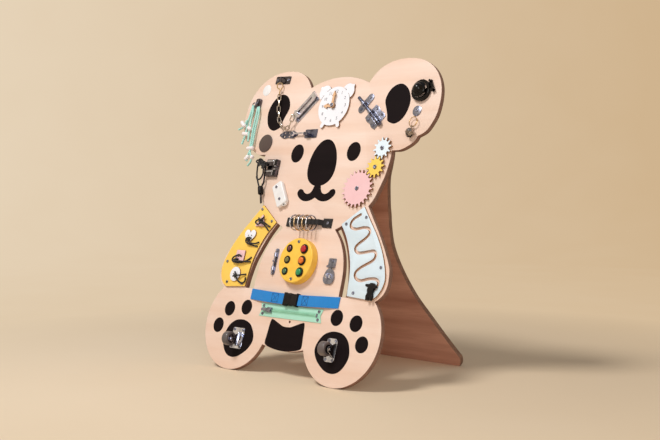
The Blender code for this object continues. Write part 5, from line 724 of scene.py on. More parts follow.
def addHookBlock(bm, place, width, height, foot, rise, ring, ringRadius, wire, screw):
    addBox(bm, width, height, width / 4, foot, rise, *place, 0.0008, 2, rims=3, steps=6)
    addBox(bm, width * 0.55, height * 0.7, 0.002, rise - 0.0002, rise + 0.0016, *place, 0.0006, 2,
           rims=3)
    addScrewHead(bm, screw, screw / 2, at(*place, rise + 0.0015), 1)
    addTube(bm, [(*point, wire + 0.0002) for point in roundLoop(*ring, ringRadius, 40)], wire,
            True, 1)


def makeBoard():
    bm = bmesh.new()
    addPlate(bm, boardLoops(), -boardSet["thick"], 0, boardSet["edge"])
    addPivots(bm, **pivotSet)
    addHookBlock(bm, **hookBlockSet)
    finishPiece("boardFace", bm, [birch, zinc, darkChrome], "front_board", onFloor=True)
    bm = bmesh.new()
    for loop in inlayLoops():
        addPlate(bm, [loop], 0.00002, boardSet["inlay"], 0.0001, rims=1)
    finishPiece("blackInlays", bm, [blackStain])


makeBoard()

# Folding stand, one smooth panel cut level with the floor and by the board's back

standSet = {
    "near": -0.0125, "far": -0.0025, "edge": 0.0006, "behindBoard": -0.0103, "top": 0.014,
    "topHalf": 0.128, "topCorner": 0.012, "footHalf": 0.177, "footCorner": 0.018, "foot": -0.5395,
    "side": ((0.128, 0.002), (0.1276, -0.03), (0.1255, -0.058), (0.12, -0.083), (0.1085, -0.107),
        (0.0935, -0.1367), (0.0798, -0.1849), (0.0745, -0.2115), (0.0688, -0.2376),
        (0.0645, -0.2795), (0.0728, -0.3274), (0.0935, -0.3837), (0.1232, -0.4329),
        (0.1504, -0.4761), (0.17, -0.505), (0.1765, -0.514), (0.177, -0.5215))}


def rearStand(near, far, edge, behindBoard, top, topHalf, topCorner, footHalf, footCorner, foot,
              side):
    half = arc(topHalf - topCorner, top - topCorner, topCorner, 6)[:0:-1] + smoothLine(side, 5)
    half += arc(footHalf - footCorner, foot + footCorner, footCorner, 6, -footCorner)[1:]
    bm = bmesh.new()
    addPlate(bm, [half + mirrored(half)], near, far, edge, 0, boardPlace.inverted() @ standPlace)
    cutLevel(bm, behindBoard, clear_outer=True)
    finishPiece("rearStand", bm, [stainedBack], "rear_stand", "stand", True)


rearStand(**standSet)
print("board and stand made")

# Blank round sticker and the mirror on the left cheek; the mirror is dark plastic whose colour is a
# painted reflection

discSet = {
    "sticker": (-0.2168, 0.6), "stickerRadius": 0.0125, "stickerRise": 0.0004,
    "mirror": (-0.18103, 0.4776), "mirrorRadius": 0.0195, "mirrorRise": 0.002}
platePiece("blankSticker", [roundLoop(*discSet["sticker"], discSet["stickerRadius"], 56)],
           0.00002, discSet["stickerRise"], 0.0001, whitePlastic)
platePiece("cheekMirror", [roundLoop(*discSet["mirror"], discSet["mirrorRadius"], 64)], seat,
           discSet["mirrorRise"], 0.0005, mirrorReflectionPaint, "cheek_mirror", 3)

# Yellow plate with its four lacing shapes, and the pale blue plate with the winding slot

plateSet = {
    "low": 0.0003, "high": 0.004, "shapeRise": 0.007, "hole": 0.0016,
    "outline": ((521, 534), (337, 478), (419, 435), (479, 384), (513, 334), (530, 265), (745, 259),
        (798, 273), (835, 302), (835, 335), (779, 392), (697, 445), (607, 490)),
    "triangle": ((-558, 462), (-446, 462), (-491, 503)), "heart": (-588, 426),
    "heartSize": (0.033, 0.029), "square": (-648, 360), "squareSide": 0.026, "disc": (-659, 301),
    "discRadius": 0.015}
windingSet = {
    "half": 0.0028,
    "line": ((502, 509), (449, 496), (427, 482), (438, 470), (487, 465), (554, 470), (603, 468),
        (622, 456), (599, 440), (536, 420), (517, 406), (554, 394), (629, 398), (693, 402),
        (719, 390), (697, 373), (603, 351), (564, 334), (581, 319), (629, 313), (697, 320),
        (764, 321), (792, 310), (775, 294), (738, 280))}


def softCorners(points, radius, steps=5):
    run = []
    for k, point in enumerate(points):
        before, after = points[k - 1], points[(k + 1) % len(points)]
        a = point + (before - point).normalized() * radius * 1.6
        b = point + (after - point).normalized() * radius * 1.6
        for step in range(steps + 1):
            t = step / steps
            run.append(a.lerp(point, t).lerp(point.lerp(b, t), t))
    return run


def plateOutline():
    line = plateSet["outline"]
    return softCorners(boardLine(line[1:6], 5) + boardLine(line[6:] + line[:1], 5), 0.0002, 1)


def heartLoop():
    wide, tall = plateSet["heartSize"]
    run = []
    for k in range(56):
        turn = 2 * pi * k / 56
        rise = (13 * cos(turn) - 5 * cos(2 * turn) - 2 * cos(3 * turn) - cos(4 * turn) + 2.5) / 28
        run.append(onBoard(plateSet["heart"]) + Vector((sin(turn) ** 3 * wide / 2, rise * tall)))
    return run


def windingLoop():
    line = resampled(boardLine(windingSet["line"], 6), 120)
    left, right = [], []
    for k, point in enumerate(line):
        along = (line[min(k + 1, len(line) - 1)] - line[max(k - 1, 0)]).normalized()
        side = Vector((-along.y, along.x)) * windingSet["half"]
        left.append(point + side)
        right.append(point - side)
    caps = [[tip + Matrix.Rotation(-pi * k / 8, 2) @ (start - tip) for k in range(1, 8)]
            for tip, start in ((line[-1], left[-1]), (line[0], right[0]))]
    return left + caps[0] + right[::-1] + caps[1]


def armPlates():
    low, high, side, hole = [plateSet[key] for key in ("low", "high", "squareSide", "hole")]
    platePiece("lacingPlate", [mirrored(plateOutline())], low, high, softEdge, yellowPaint,
               "arm_plate_left")
    for name, loop, finish, slot in (
            ("lacingTriangle", softCorners(placed(plateSet["triangle"]), 0.0015), pinkPaint,
             "pink_paint"),
            ("lacingHeart", heartLoop(), whitePaint, "white_paint"),
            ("lacingSquare", boxLoop(side, side, 0.0015, 5, *onBoard(plateSet["square"])),
             pinkPaint, "pink_paint"),
            ("lacingDisc", roundLoop(*onBoard(plateSet["disc"]), plateSet["discRadius"], 56),
             whitePaint, "white_paint")):
        middle = sum(loop, Vector((0, 0))) / len(loop)
        holes = [roundLoop(middle.x + way * 3 * hole, middle.y, hole, 16) for way in (-1, 1)]
        platePiece(name, [loop] + holes, high + 0.00005, plateSet["shapeRise"], 0.0003, finish)
    platePiece("windingPlate", [plateOutline(), windingLoop()], low, high, softEdge, bluePaint,
               "arm_plate_right")


armPlates()
print("plates made")

# Chain from the bracket to the sliding button

chainSet = {
    "start": (-0.17088, 0.61934), "end": (-0.09673, 0.53907), "links": 11, "wire": 0.0012,
    "width": 0.0092, "overlap": 0.0018, "bigWidth": 0.014,
    "shares": ((0.01, 0.12, 0.009), (0.046, 0.197, 0.0085), (0.059, 0.378, 0.0075),
        (0.1, 0.59, 0.0065), (0.167, 0.839, 0.0065), (0.248, 1.064, 0.0065), (0.363, 1.263, 0.0065),
        (0.511, 1.388, 0.0065), (0.666, 1.425, 0.007), (0.801, 1.375, 0.0085),
        (0.868, 1.263, 0.0115), (0.942, 1.09, 0.013))}
trackSet = {
    "place": (-0.0825, 0.55355), "turn": radians(45.5), "length": 0.066, "width": 0.0026,
    "across": 0.0092, "low": 0.0014, "high": 0.0019}


def ovalLink(start, end, width, tilt):
    along = (end - start).normalized()
    flat = Vector((0, 0, 1)).cross(along).normalized()
    across = flat * cos(tilt) + along.cross(flat) * sin(tilt)
    radius = width / 2 - chainSet["wire"]
    straight = max(0.0005, (end - start).length / 2 + chainSet["overlap"] / 2 - radius)
    return [(start + end) / 2 + along * way * (straight + radius * cos(turn))
            + across * way * radius * sin(turn)
            for way in (1, -1) for turn in [-pi / 2 + pi * k / 8 for k in range(9)]]


def doorChain():
    start, end = Vector(chainSet["start"]), Vector(chainSet["end"])
    span = end - start
    line = smoothLine([(start.x + span.x * across, start.y + span.y * down, rise)
                       for across, down, rise in chainSet["shares"]], 6)
    route = resampled(line, chainSet["links"] + 1)
    bm = bmesh.new()
    for k, (a, b) in enumerate(zip(route, route[1:])):
        link = ovalLink(a, b, chainSet["width" if k else "bigWidth"], radians(40 if k % 2 else -40))
        addTube(bm, link, chainSet["wire"], True, 1 if k < 2 else 0)
    finishPiece("doorChain", bm, [nickel, brass], "door_chain",
                bend=("chain_button", (*start, 0), (*end, 0)))


# Dark chrome strips along both sides of the track's channel: painted shade of its raised slopes,
# which the flat track lacks
def trackTrim(place, turn, length, width, across, low, high):
    bm = bmesh.new()
    for side in (-1, 1):
        addBox(bm, length, width, width / 2.5, low, high, 0, side * across, width / 10, 0,
               at(*place, turn=turn), steps=4)
    finishPiece("trackTrim", bm, [darkChrome])


doorChain()
trackTrim(**trackSet)
print("chain made")

# Bell with its dome, the jingle bell on its rings, and the five rings on the strap

bellSet = {
    "place": (0.22001, 0.56699), "lift": 0.011, "radius": 0.0102, "rise": 0.0085, "wall": 0.0012,
    "skirt": ((0.0145, 0), (0.0146, 0.0008), (0.014, 0.0018), (0.0126, 0.0028), (0.0111, 0.0034)),
    "brow": 0.004}
jingleSet = {
    "pivot": (0.21707, 0.51462, 0.0052), "ringRadius": 0.0095, "wire": 0.001, "eyeRadius": 0.003,
    "radius": 0.0085, "slit": 0.0016, "tabShift": 0.0134, "tabWidth": 0.01, "tabHeight": 0.0102,
    "hook": 0.002}
ringSet = {
    "radius": 0.0148, "wire": 0.0013, "y": 0.3026, "z": 0.0166, "start": -0.022, "pitch": 0.011}


def bellDome(place, lift, radius, rise, wall, skirt, brow):
    outer = arc(0, brow, radius, 14, rise)[:-1]
    inner = arc(0, brow, radius - wall, 14, rise - wall)[:-1]
    bm = bmesh.new()
    addLathe(bm, list(skirt) + outer + [(0, brow + rise), (0, brow + rise - wall)] + inner[::-1]
             + [(radius - wall, brow - wall), (skirt[0][0] - wall, 0), skirt[0]], 56, 0,
             at(*place, lift))
    finishPiece("bellDome", bm, [blackGloss], "bell_dome")


def jingleBell(pivot, ringRadius, wire, eyeRadius, radius, slit, tabShift, tabWidth, tabHeight,
               hook):
    pivot = Vector(pivot)
    bm = bmesh.new()
    for shift, tilt in ((0, 0), (0.0004, 0.1)):
        addTube(bm, [pivot + Vector((point.x, point.y, shift + sin(tilt) * point.x))
                     for point in roundLoop(0, -ringRadius, ringRadius, 44)], wire * 0.8, True, 1)
    drop = -2 * ringRadius - eyeRadius + 1.5 * wire
    addTube(bm, [pivot + Vector((0, drop + point.x, point.y))
                 for point in roundLoop(0, 0, eyeRadius, 24)], wire * 0.8, True)
    middle = pivot + Vector((0, drop - eyeRadius - radius * 0.96,
                             max(0, radius + 0.0005 - pivot.z)))
    profile = [(radius * sin(pi * k / 20) * (1.06 if k == 10 else 1), -radius * cos(pi * k / 20))
               for k in range(21)]
    profile[0], profile[-1] = (0, -radius), (0, radius)
    addLathe(bm, profile, 40, 0, Matrix.Translation(middle) @ Matrix.Rotation(-pi / 2, 4, "X"))
    for turn in (0, pi / 2):  # the two slits, black tubes laid in a cross on the bell: painted shade of its openings
        line = [middle + Matrix.Rotation(turn, 3, "Y") @ Vector((point.y, -point.x, 0))
                for point in arc(0, 0, radius * 1.005, 16, None, radians(-62), radians(124))]
        addTube(bm, line, slit * 0.62, False, 2)
    finishPiece("jingleBell", bm, [bellSteel, brass, blackPlastic], "jingle_bell",
                "jingle")
    bm = bmesh.new()
    addPlate(bm, [roundLoop(pivot.x, pivot.y + tabShift, tabWidth, 48, tabHeight)], seat, 0.0015)
    addTube(bm, [(pivot.x, *point) for point in arc(
        pivot.y + hook * 1.2, 0.0012, hook, 20, hook * 1.7, radians(-20), radians(200))], 0.0008)
    finishPiece("jingleTab", bm, [zinc], "jingle_tab")


def strapRings(radius, wire, y, z, start, pitch):
    for count in range(5):
        spot = Vector((start + count * pitch, y, z))
        bm = bmesh.new()
        addTube(bm, [spot + Vector((0, *point)) for point in roundLoop(0, 0, radius, 56)], wire,
                True, around=4)
        finishPiece("strapRing%d" % (count + 1), bm, [brass if count % 2 else chrome],
                    "strap_ring_%d" % (count + 1), "ring_%d" % (count + 1))


bellDome(**bellSet)
jingleBell(**jingleSet)
strapRings(**ringSet)
print("bells and rings made")

# Round light panel with its lamps and buttons

drumSet = {
    "place": (0, 0.22731), "radius": 0.045, "rise": 0.0164, "edge": 0.0028, "lampX": -0.0215,
    "buttonX": 0.0195, "pitch": 0.023, "bezel": 0.0095, "bezelRise": 0.003, "holder": 0.0078,
    "holderRise": 0.0022, "lens": 0.0052, "cap": 0.0065, "capRise": 0.0065, "bore": 0.007,
    "capFoot": 0.0109}


def lightPanel(place, radius, rise, edge, lampX, buttonX, pitch, bezel, bezelRise, holder,
               holderRise, lens, cap, capRise, capFoot, bore):
    floor, rim, top, glass = [rise + lift for lift in (seat, bezelRise, holderRise,
                                                       holderRise - 0.0008)]
    rows = [place[1] + row * pitch for row in (1, 0, -1)]
    bm = bmesh.new()
    addLathe(bm, [(0, seat), (radius - 0.0006, seat), (radius, 0.0009)]
             + arc(radius - edge, rise - edge, edge, 6)
             + [(radius * 0.86, rise), (radius * 0.85, rise - 0.0003), (radius * 0.84, rise),
                (0, rise)], 96, 0, at(*place))
    for y, paint in zip(rows, (2, 3, 4)):
        addLathe(bm, [(bore, floor), (bezel, floor), (bezel, rim - 0.0012),
                      (bezel - 0.0006, rim - 0.0003), (bezel - 0.0012, rim), (bore + 0.0003, rim),
                      (bore, rim - 0.0004), (bore, floor)], 48, 1, at(buttonX, y))
        addLathe(bm, [(0, rise - 0.0005), (holder, rise - 0.0005), (holder, top - 0.0012),
                      (holder - 0.001, top), (lens + 0.0006, top), (lens, glass), (0, glass)],
                 48, 1, at(lampX, y))
        addLathe(bm, [(0, top - 0.0009), (lens * 0.97, top - 0.0009)]
                 + arc(0, glass, lens * 0.97, 8, 0.0019)[:-1] + [(0, top + 0.0011)], 36, paint,
                 at(lampX, y))
    finishPiece("lightDrum", bm, [yellowPlastic, blackPlastic, redLens, oliveLens, greenLens],
                "light_drum")
    crown = rise + capRise
    for name, y, finish in zip(("red", "orange", "green"), rows,
                               (redPlastic, orangePlastic, greenPlastic)):
        bm = bmesh.new()
        addLathe(bm, [(0, capFoot), (cap, capFoot)] + arc(cap - 0.0016, crown - 0.0026, 0.0016, 5)
                 + [(cap * 0.5, crown - 0.0003), (0, crown)], 48, 0, at(buttonX, y))
        finishPiece("buttonCap" + name.title(), bm, [finish],
                    "button_" + name, name + "_button")


lightPanel(**drumSet)
print("light panel made")

# Barrel bolt: scalloped plate with two arches, its keeper, and the rod that slides in both

barrelSet = {
    "place": (0.11588, 0.52102), "turn": radians(-40.2), "half": 0.0195, "dip": 0.0172,
    "bulge": 0.002, "low": 0.0003, "high": 0.0015, "bore": 0.0037, "wall": 0.0014, "lift": 0.0053,
    "arch": 0.009, "archAt": 0.0145, "rib": 0.0066, "ribRise": 0.0038, "keeperAt": -0.043,
    "keeperWide": 0.016, "keeperLong": 0.046, "keeperShift": 0.0028,
    "rod": ((0, -0.065), (0.0026, -0.065), (0.0034, -0.0641), (0.0034, 0.0202), (0.0044, 0.0206),
        (0.005, 0.0222), (0.005, 0.024), (0.0042, 0.0258), (0.0024, 0.0268), (0, 0.027))}


def addArch(bm, bore, wall, length, place):
    half, outer = length / 2, bore + wall
    addLathe(bm, [(bore, -half), (outer, -half), (outer, half), (bore, half), (bore, -half)], 40,
             0, place @ lying)


def barrelBolt(place, turn, half, dip, bulge, low, high, bore, wall, lift, arch, archAt, rib,
               ribRise, keeperAt, keeperWide, keeperLong, keeperShift, rod):
    place = at(*place, turn=turn)
    upper = [Vector((x, dip + bulge * (0.5 - 0.5 * cos(2 * pi * (x + half) / half))))
             for x in [half * (k / 24 - 1) for k in range(49)]]
    bm = bmesh.new()
    addPlate(bm, [upper + flipped(upper)], low, high, place=place)
    for side in (-1, 1):
        addBox(bm, half * 1.8, 0.0014, 0.0005, high - 0.0001, ribRise, 0, side * rib, place=place,
               steps=3)
        addArch(bm, bore, wall, arch, place @ at(side * archAt, 0, lift))
    finishPiece("barrelHousing", bm, [zinc], "barrel_bolt_housing")
    bm = bmesh.new()
    addBox(bm, keeperWide, keeperLong, keeperWide / 2, low, high, keeperAt, keeperShift,
           place=place, steps=8)
    addArch(bm, bore, wall, arch * 0.85, place @ at(keeperAt, 0, lift))
    finishPiece("barrelKeeper", bm, [zinc], "barrel_bolt_keeper")
    bm = bmesh.new()
    addLathe(bm, rod, 36, 0, place @ at(0, 0, lift) @ lying)
    finishPiece("barrelRod", bm, [darkPlate], "barrel_bolt_rod", "barrel_bolt")


barrelBolt(**barrelSet)

# Catch case with its two jaws, and the white push catch

caseSet = {
    "place": (-0.13911, 0.42077), "width": 0.033, "height": 0.036, "jaw": 0.014, "jawAt": 0.011,
    "floor": 0.003, "high": 0.0088, "trim": 0.0096, "roller": 0.003, "corner": 0.0015,
    "rollerAt": 0.0052}
pushSet = {
    "place": (-0.09211, 0.36586), "turn": radians(-56.6), "length": 0.054, "width": 0.028,
    "shift": -0.0045, "corner": 0.0055, "high": 0.0098, "edge": 0.0026}


def catchCase(place, width, height, jaw, jawAt, floor, high, trim, roller, corner, rollerAt):
    place = at(*place)
    bm = bmesh.new()
    addBox(bm, width, height, corner, seat, floor, place=place)
    for side in (-1, 1):
        y = side * jawAt
        addBox(bm, width, jaw, corner, seat, high, 0, y, 0.0008, 0, place, 3)
        for across, up, radius, x, rise, paint, steps in (
                (width * 0.62, 0.0026, 0.0008, -width * 0.14, 0.003, 1, 4),
                (0.0016, jaw * 0.8, 0.0004, width * 0.24, 0, 1, 3),
                (0.007, jaw * 0.9, 0.0012, width * 0.38, 0, 2, 4)):
            addBox(bm, across, up, radius, high - 0.0002, trim, x, y + rise, 0.0003, paint, place,
                   steps=steps)
        addLathe(bm, [(0, floor), (roller, floor), (roller, high - 0.0006), (0, high - 0.0006)],
                 32, 1, place @ at(width / 3, side * rollerAt))
    finishPiece("catchCase", bm, [darkChrome, chrome, blackPlastic], "catch_case")


def pushCatch(place, turn, length, width, shift, corner, high, edge):
    place, end = at(*place, turn=turn), length / 2
    bm = bmesh.new()
    addBox(bm, length, width, corner, seat, high, 0, shift, edge, 0, place, 5, 8)
    addBox(bm, 0.009, 0.01, 0.002, 0.0018, 0.0078, end - 0.0012, 0, 0.0008, 0, place, 3)
    addBox(bm, 0.0022, 0.0046, 0.0008, 0.0076, 0.0081, end + 0.0016, 0, 0.0001, 1, place, steps=4)
    finishPiece("pushCatch", bm, [whitePlastic, blackPlastic], "push_catch")


catchCase(**caseSet)
pushCatch(**pushSet)

# Side release buckle

buckleSet = {
    "place": (0.00294, 0.1513), "low": 0.0018, "high": 0.0105, "edge": 0.0012,
    "socket": ((-0.0185, -0.013), (-0.0122, -0.013), (-0.008, -0.0094), (0.0012, -0.0098),
        (0.0012, 0.0098), (-0.008, 0.0094), (-0.0122, 0.013), (-0.0185, 0.013)),
    "plug": ((0.0016, -0.0112), (0.015, -0.0112), (0.0162, -0.013), (0.0184, -0.013),
        (0.0184, 0.013), (0.0162, 0.013), (0.015, 0.0112), (0.0016, 0.0112)),
    "prong": ((0.003, 0.01), (0.003, 0.012), (-0.004, 0.0126), (-0.0072, 0.0116), (-0.0066, 0.0104),
        (-0.004, 0.0104))}


def bucklePiece(name, forms, body, node):
    low, high = buckleSet["low"], buckleSet["high"]
    bm = bmesh.new()
    for form, inset, edge in forms:
        points = [Vector(point) for point in buckleSet[form]]
        loops = [points, [Vector(point) for point in flipped(points)]]
        for loop in loops if form == "prong" else loops[:1]:
            addPlate(bm, [softCorners(loop, 0.0005, 4)], low + inset, high - inset, edge, 0,
                     at(*buckleSet["place"]), 3)
    finishPiece(name, bm, [blackPlastic], node, body)


edge = buckleSet["edge"]
bucklePiece("buckleSocket", [("socket", 0, edge)], "board", "buckle_socket")
bucklePiece("bucklePlug", [("plug", 0, edge), ("prong", 0.002, softEdge)], "buckle", "buckle_plug")
print("bolt, catches and buckle made")

# Webbing belt with its stitching

beltSet = {
    "place": (0.00294, 0.15579), "half": 0.1215, "width": 0.0215, "thick": 0.0016, "lift": 0.0052,
    "bow": 0.0045, "buckle": 0.0188, "stitch": 0.0019, "thread": 0.00035}


def beltPoint(x, across, rise):
    near = (beltSet["half"] - abs(x)) / beltSet["half"]
    share = max(0.0, min(1.0, near / 0.4))
    low = seat + beltSet["lift"] * share * share * (3 - 2 * share)
    sag = beltSet["bow"] * (1 - (1 - near) ** 2)
    return Vector((beltSet["place"][0] + x, beltSet["place"][1] - sag + across, low + rise))


def beltBand(name, start, end, node, bend):
    part = bmesh.new()
    bmesh.ops.create_grid(part, x_segments=56, y_segments=8, size=0.5)
    for vert in part.verts:
        x, y, _ = vert.co
        vert.co = beltPoint(start + (end - start) * (x + 0.5), y * beltSet["width"],
                            beltSet["thick"] * (0.98 - 0.22 * abs(y * 2) ** 6))
    bmesh.ops.recalc_face_normals(part, faces=part.faces)
    if part.faces[:][0].normal.z < 0:
        bmesh.ops.reverse_faces(part, faces=part.faces)
    bmesh.ops.solidify(part, geom=part.faces[:], thickness=beltSet["thick"] * 0.7)
    bm = bmesh.new()
    joinIn(bm, part)
    return finishPiece(name, bm, [blueWebbing], node, bend=bend)


def beltStitches(name, x0, x1, bend):
    thread, pitch = beltSet["thread"], beltSet["stitch"]
    source = bmesh.new()
    addTube(source, [(pitch * reach, 0, thread * rise) for reach, rise in (
        (-0.36, -1), (-0.24, 0.4), (0.24, 0.4), (0.36, -1))], thread, around=1)
    inset = beltSet["width"] / 2 - 0.0024
    a, b, c, d = (x0, -inset), (x1, -inset), (x1, inset), (x0, inset)
    places = []
    for (ax, ay), (bx, by) in ((a, b), (b, c), (c, d), (d, a), (a, c), (b, d)):
        count = max(1, round(hypot(bx - ax, by - ay) / pitch))
        for k in range(count):
            t = (k + 0.5) / count
            spot = beltPoint(ax + (bx - ax) * t, ay + (by - ay) * t, beltSet["thick"])
            places.append(at(*spot, turn=atan2(by - ay, bx - ax)))
    bm = bmesh.new()
    stamp(bm, source, places)
    return finishPiece(name, bm, [navyThread], bend=bend)


rightBend = ("buckle", (0.1244, 0.1558, 0.003), (0.03, 0.1513, 0.006))
for side, start, end, seams, bend in (
        ("Left", -beltSet["half"], -beltSet["buckle"], (-0.0545, -0.0365), None),
        ("Right", beltSet["buckle"], beltSet["half"], (0.03, 0.045), rightBend)):
    band = beltBand("belt" + side, start, end, "belt_" + side.lower(), bend)
    beltStitches("beltStitches" + side, *seams, bend)
print("belt made")

# Zip

zipSet = {
    "place": (0.0024, 0.12706), "half": 0.086, "width": 0.0262, "tape": 0.001, "notch": 0.005,
    "start": -0.0625, "stop": 0.07, "pitch": 0.0019, "teeth": 0.0052, "rise": 0.0022}


def zipTape(place, half, width, tape, notch, start, stop, pitch, teeth, rise):
    place, wide = at(*place), width / 2
    bm = bmesh.new()
    addPlate(bm, [[(-half, -wide), (half, -wide), (half - notch, 0), (half, wide), (-half, wide),
                   (-half + notch, 0)]], seat, seat + tape, 0.0002, 0, place)
    cloth = finishPiece("zipTape", bm, [zipCloth], "zip_tape")
    source = bmesh.new()
    addBox(source, pitch * 0.78, teeth * 0.62, 0.0003, 0.001, 0.0013 + rise * 0.8, edge=0.0002,
           rims=1, steps=2)
    bm = bmesh.new()
    stamp(bm, source, [place @ at(start + (k + 0.5) * pitch, teeth * (0.17 if k % 2 else -0.17))
                       for k in range(int((stop - start) / pitch))])
    for x in (start - 0.003, stop + 0.0026):
        addBox(bm, 0.003, teeth * 1.4, 0.0006, 0.001, 0.0034, x, paint=1, place=place, steps=3)
    row = finishPiece("zipTeeth", bm, [zipGreen, zinc])


zipTape(**zipSet)
print("zip made")

# Caster wheels: place, radius, width and body of each

wheelSet = {
    "Left": ((-0.1311, 0.05885, 0.0226), 0.014, 0.015, "caster_wheel"),
    "Right": ((0.12789, 0.06704, 0.017), 0.0135, 0.0165, "fixed_wheel"), "bore": 0.0025}
fixedSet = {
    "place": (0.12789, 0.06704), "width": 0.026, "height": 0.044, "corner": 0.006, "high": 0.0018,
    "cheekAt": 0.0092, "cheek": 0.0018, "base": 0.0148, "axle": 0.017, "axleRadius": 0.0022,
    "tip": 0.0048, "head": 0.003, "line": 0.0005}


def casterWheel(side, tread, hub):
    spot, radius, width, body = wheelSet[side]
    half, edge = width / 2, width / 6
    profile = arc(radius - edge, half - edge, edge, 5) + [
        (radius * 0.62, half), (radius * 0.58, half - 0.0012), (radius * 0.36, half - 0.0012),
        (radius * 0.33, half), (wheelSet["bore"], half)]
    profile = flipped(profile) + profile
    bm = bmesh.new()
    addLathe(bm, profile + profile[:1], 56, 0, at(*spot) @ lying)
    for face in bm.faces:
        _, y, z = face.calc_center_median() - Vector(spot)
        if hypot(y, z) < radius * 0.6:
            face.material_index = 1
    finishPiece("casterWheel" + side, bm, [tread, hub], "caster_wheel_" + side.lower(), body)


def fixedCaster(place, width, height, corner, high, cheekAt, cheek, base, axle, axleRadius, tip,
                head, line):
    place, far = at(*place), cheekAt + cheek
    pin, upright = place @ at(0, 0, axle), place @ Matrix.Rotation(-pi / 2, 4, "Y")
    loop = [Vector((high - 0.0006, -base)), Vector((high - 0.0006, base))]
    loop += arc(axle, 0, tip, 10, start=radians(70), sweep=radians(-140))
    bm = bmesh.new()
    addBox(bm, width, height, corner, seat, high, place=place, steps=7)
    addLathe(bm, [(0, -far), (axleRadius, -far), (axleRadius, far), (0, far)], 24, 0, pin @ lying)
    for side in (-1, 1):
        low, top = sorted((side * cheekAt, side * far))
        addPlate(bm, [loop], low, top, softEdge, 1, upright)
        # a thin chrome line round the edge of each black cheek: painted highlight of the fork's rim
        addTube(bm, [(*point, side * far) for point in loop], line, True, 0, upright, 1)
        addLathe(bm, [(0, far - 0.0002), (head, far - 0.0002), (head, far + 0.0006),
                      (head * 0.6, far + 0.0014), (0, far + 0.0016)], 28, 0,
                 pin @ Matrix.Rotation(side * pi / 2, 4, "Y"))
    finishPiece("fixedCaster", bm, [chrome, blackPlastic], "caster_plate_right")


casterWheel("Left", rubber, darkChrome)
casterWheel("Right", nylon, blackPlastic)
fixedCaster(**fixedSet)

# Numerals on the clock

clockSet = {"place": (0, 0.54975), "top": 0.004, "reach": 0.0312, "size": 0.0092, "rise": 0.0003}


def clockNumerals(place, top, reach, size, rise):
    bm = bmesh.new()
    for hour in range(1, 13):
        text = bpy.data.curves.new("numeral", "FONT")
        text.body = str(hour)
        text.size = size
        text.extrude = rise / 2
        text.align_x = text.align_y = "CENTER"
        turn = pi / 2 - hour * pi / 6
        joinIn(bm, curvePart(text), at(place[0] + cos(turn) * reach, place[1] + sin(turn) * reach,
                                       top + rise / 2))
    finishPiece("clockNumerals", bm, [numeralGrey])


clockNumerals(**clockSet)

# Screws: single ones, then fittings with their place, turn in degrees, columns, rows and height

screwSet = {
    "radius": 0.0031, "rise": 0.0015, "firstTurn": 0.5, "turnStep": 1.7,
    "plates": ((-0.14, 0.332), (-0.104, 0.307), (-0.211, 0.218), (-0.198, 0.175),
               (-0.151, 0.174), (0.15, 0.32), (0.103, 0.306), (0.21, 0.227), (0.156, 0.176)),
    "singles": ((0.2171, 0.5285), (-0.133, 0.4942), (0.0849, 0.2332), (-0.0716, 0.248),
                (-0.0716, 0.2015)),
    "strap": ((0, 0.3071), 0, (-0.0525, 0.0525), (0,), 0.0023),
    "drum": ((0, 0.2273), 0, (0,), (-0.0372, 0.0372), 0.0164),
    "zip": (zipSet["place"], 0, (-0.0765, 0.0765), (-0.0078, 0.0078), 0.0013),
    "bracket": (chainSet["start"], -3, (-0.0165, 0.0165), (0,), 0.0015),
    "bolt": (barrelSet["place"], -40.2, (-0.0098, 0.0098), (-0.0142, 0.0142), 0.0015),
    "keeper": (barrelSet["place"], -40.2, (-0.043,), (-0.0127, 0.0183), 0.0015),
    "track": (trackSet["place"], 45.5, (-0.0305, 0.0305), (-0.0105, 0.0105), 0.0015),
    "push": (pushSet["place"], -56.6, (-0.0185, 0.0115), (-0.0058,), 0.0097),
    "swivel": ((-0.1311, 0.06385), 0, (-0.013, 0.013), (-0.017, 0.017), 0.0015),
    "fixed": (fixedSet["place"], 0, (-0.009, 0.009), (-0.018, 0.018), 0.0015)}


def fittingSpots(*keys):
    spots = []
    for middle, turn, columns, rows, rise in [screwSet[key] for key in keys]:
        spin = Matrix.Rotation(radians(turn), 2)
        spots += [(*(Vector(middle) + spin @ Vector((x, y))), rise) for x in columns
                  for y in rows]
    return spots


def faceScrews():
    spots = [(*spot, 0.004) for spot in screwSet["plates"]] + fittingSpots("strap", "drum", "zip")
    spots += [(*spot, 0.0015) for spot in screwSet["singles"]] + fittingSpots(
        "bracket", "bolt", "keeper", "track", "push", "swivel", "fixed")
    source = bmesh.new()
    addScrewHead(source, screwSet["radius"], screwSet["rise"], None, 0)
    bm = bmesh.new()
    stamp(bm, source, [at(*spot, turn=screwSet["firstTurn"] + screwSet["turnStep"] * k)
                       for k, spot in enumerate(spots)])
    finishPiece("faceScrews", bm, [zinc])


faceScrews()
print("screws made")

# Finishes of the solids that stay

for material, names in (
        (zinc, ("hinge_board_leaf", "hinge_stand_leaf", "slim_bolt_plate", "slim_bolt_rod",
                "hasp_plate", "hasp_flap", "zip_slider")),
        (chrome, ("chain_track", "chain_slider", "hook_arm", "hasp_staple", "caster_plate_left",
                  "caster_fork")),
        (darkPlate, ("hook_base", "hook_catch")), (darkChrome, ("chain_bracket",)),
        (blackGloss, ("bell_bracket", "bell_lever")), (blackWebbing, ("ring_strap",)),
        (blackPlastic, ("figure_slider",)), (handWood, ("hour_hand", "minute_hand")),
        (whitePaint, ("clock_plate",)), (pinkPaint, ("gear_pink",)),
        (yellowGear, ("gear_yellow",)), (whiteGear, ("gear_white",))):
    for name in names:
        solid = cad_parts[name]
        if not solid.material_slots:
            solid.data.materials.append(material)
        for holder in solid.material_slots:
            holder.material = material
print("solids finished")
